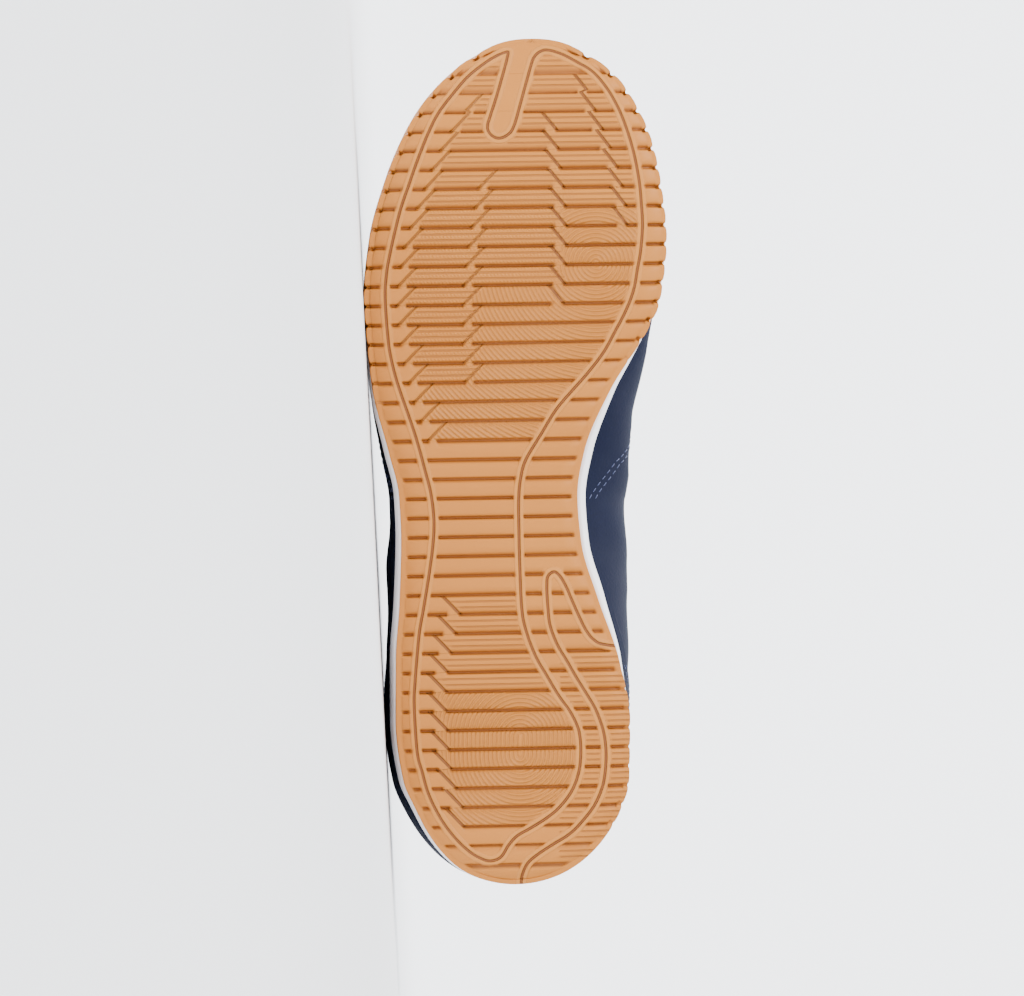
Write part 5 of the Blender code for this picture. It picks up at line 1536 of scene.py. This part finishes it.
def make_stage(colors):
    """Seamless sweep: a floor, a quarter turn and a wall, carried sideways; then the lights and the camera."""
    depth = np.concatenate((np.linspace(-4.5, 1.4, 12), 1.4 + 1.2 * np.sin(np.radians(np.linspace(6, 90, 14))),
                            np.full(6, 2.6)))
    height = np.concatenate((np.zeros(12), 1.2 * (1 - np.cos(np.radians(np.linspace(6, 90, 14)))),
                             np.linspace(1.4, 5.0, 6)))
    across = np.linspace(-6, 6, 9)
    points = np.stack(np.broadcast_arrays(across[None, :], depth[:, None], height[:, None]), axis=-1)
    ids = np.arange(points.shape[0] * points.shape[1]).reshape(points.shape[:2])
    mesh = bpy.data.meshes.new("studio_sweep")
    mesh.from_pydata(points.reshape(-1, 3), [], grid_quads(ids).tolist())
    mesh.shade_smooth()
    mesh.materials.append(backdrop_paper(tuple(colors.paper)))
    sweep = bpy.data.objects.new("studio_sweep", mesh)
    bpy.context.scene.collection.objects.link(sweep)

    world = bpy.data.worlds.new("studio_air")
    world.use_nodes = True
    world.node_tree.nodes["Background"].inputs["Color"].default_value = (0.93, 0.96, 1.0, 1.0)
    world.node_tree.nodes["Background"].inputs["Strength"].default_value = 1.1
    bpy.context.scene.world = world

    lamps = (
        ("key_softbox", (-1.2, -0.95, 1.7), (0.0, 0.0, 0.05), 0.6, 52.0, (1.0, 0.985, 0.96)),
        ("front_fill", (0.5, -2.6, 1.0), (0.0, 0.0, 0.05), 1.6, 4.0, (0.96, 0.98, 1.0)),
        ("floor_wash", (0.3, -2.2, 1.5), (0.2, -2.0, 0.0), 1.4, 44.0, (0.98, 0.99, 1.0)),
        ("wall_wash", (0.0, 0.9, 2.3), (0.0, 2.6, 0.5), 1.6, 150.0, (0.97, 0.98, 1.0)),
    )
    for name, place, target, size, power, tone in lamps:
        lamp = bpy.data.lights.new(name, "AREA")
        lamp.shape = "DISK"
        lamp.size = size
        lamp.energy = power
        lamp.color = tone
        thing = bpy.data.objects.new(name, lamp)
        bpy.context.scene.collection.objects.link(thing)
        aim(thing, place, target, (0.0, 0.3, 1.0))

    lens = bpy.data.cameras.new("photo_camera")
    lens.sensor_fit = "HORIZONTAL"
    lens.sensor_width = SENSOR
    lens.lens = SENSOR * CAMERA_DISTANCE / PICTURE_WIDTH
    camera = bpy.data.objects.new("photo_camera", lens)
    bpy.context.scene.collection.objects.link(camera)
    target = laid(CAMERA_TARGET)
    a = math.radians(CAMERA_SIDEWAYS)
    away = -AXES[:, 2] * math.cos(a) - AXES[:, 1] * math.sin(a)
    place = target + away * CAMERA_DISTANCE
    place[2] = max(place[2], CAMERA_LOWEST)
    aim(camera, place, target, AXES[:, 0])
    bpy.context.scene.camera = camera
    return sweep


# ---------------------------------------------------------------- add-on

class AddSole(bpy.types.Operator):
    """Gum sole with its bars, drawn lines and fine relief"""
    bl_idname = "shoe.sole"
    bl_label = "Gum sole"
    bl_options = {"REGISTER", "UNDO"}

    def execute(self, context):
        scene = context.scene
        make_sole(scene.shoe_tread, scene.shoe_colors)
        return {"FINISHED"}


class AddFoam(bpy.types.Operator):
    """Foam midsole that shows as a pale band"""
    bl_idname = "shoe.foam"
    bl_label = "Foam midsole"
    bl_options = {"REGISTER", "UNDO"}

    def execute(self, context):
        scene = context.scene
        make_foam(scene.shoe_colors)
        return {"FINISHED"}


class AddUpper(bpy.types.Operator):
    """Hollow upper with toe cap, counter and eyestay, and its lace holes"""
    bl_idname = "shoe.upper"
    bl_label = "Upper and eyelets"
    bl_options = {"REGISTER", "UNDO"}

    def execute(self, context):
        scene = context.scene
        make_upper(scene.shoe_upper, scene.shoe_colors)
        make_eyelets()
        return {"FINISHED"}


class AddPadding(bpy.types.Operator):
    """Collar pad, tongue and sockliner"""
    bl_idname = "shoe.padding"
    bl_label = "Collar, tongue and sockliner"
    bl_options = {"REGISTER", "UNDO"}

    def execute(self, context):
        scene = context.scene
        make_collar(scene.shoe_upper, scene.shoe_colors)
        make_tongue(scene.shoe_upper, scene.shoe_colors)
        make_sockliner(scene.shoe_upper, scene.shoe_colors)
        return {"FINISHED"}


class AddLace(bpy.types.Operator):
    """Flat lace through its holes, and the seams' thread"""
    bl_idname = "shoe.lace"
    bl_label = "Lace and thread"
    bl_options = {"REGISTER", "UNDO"}

    def execute(self, context):
        scene = context.scene
        make_lace(scene.shoe_upper, scene.shoe_colors)
        make_thread(scene.shoe_upper, scene.shoe_colors)
        return {"FINISHED"}


class AddStage(bpy.types.Operator):
    """Pale sweep, soft lights and the camera"""
    bl_idname = "shoe.stage"
    bl_label = "Stage"
    bl_options = {"REGISTER", "UNDO"}

    def execute(self, context):
        scene = context.scene
        make_stage(scene.shoe_colors)
        return {"FINISHED"}


class ShoePanel(bpy.types.Panel):
    """The shoe's pieces and sizes"""
    bl_idname = "VIEW3D_PT_shoe"
    bl_label = "Shoe"
    bl_space_type = "VIEW_3D"
    bl_region_type = "UI"
    bl_category = "Shoe"

    def draw(self, context):
        for maker in MAKERS:
            self.layout.operator(maker.bl_idname)
        for group in (context.scene.shoe_tread, context.scene.shoe_upper, context.scene.shoe_colors):
            box = self.layout.box()
            for key in group.__annotations__:
                box.prop(group, key)


MAKERS = (AddSole, AddFoam, AddUpper, AddPadding, AddLace, AddStage)
GROUPS = (TreadSizes, UpperSizes, ShoeColors)


def register():
    for group in GROUPS + MAKERS + (ShoePanel,):
        bpy.utils.register_class(group)
    bpy.types.Scene.shoe_tread = PointerProperty(type=TreadSizes)
    bpy.types.Scene.shoe_upper = PointerProperty(type=UpperSizes)
    bpy.types.Scene.shoe_colors = PointerProperty(type=ShoeColors)


def unregister():
    del bpy.types.Scene.shoe_colors
    del bpy.types.Scene.shoe_upper
    del bpy.types.Scene.shoe_tread
    for group in reversed(GROUPS + MAKERS + (ShoePanel,)):
        bpy.utils.unregister_class(group)


def main():
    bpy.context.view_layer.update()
    register()
    bpy.ops.shoe.stage()
    bpy.ops.shoe.sole()
    bpy.ops.shoe.foam()
    bpy.ops.shoe.upper()
    bpy.ops.shoe.padding()
    bpy.ops.shoe.lace()


if __name__ == "__main__":
    main()
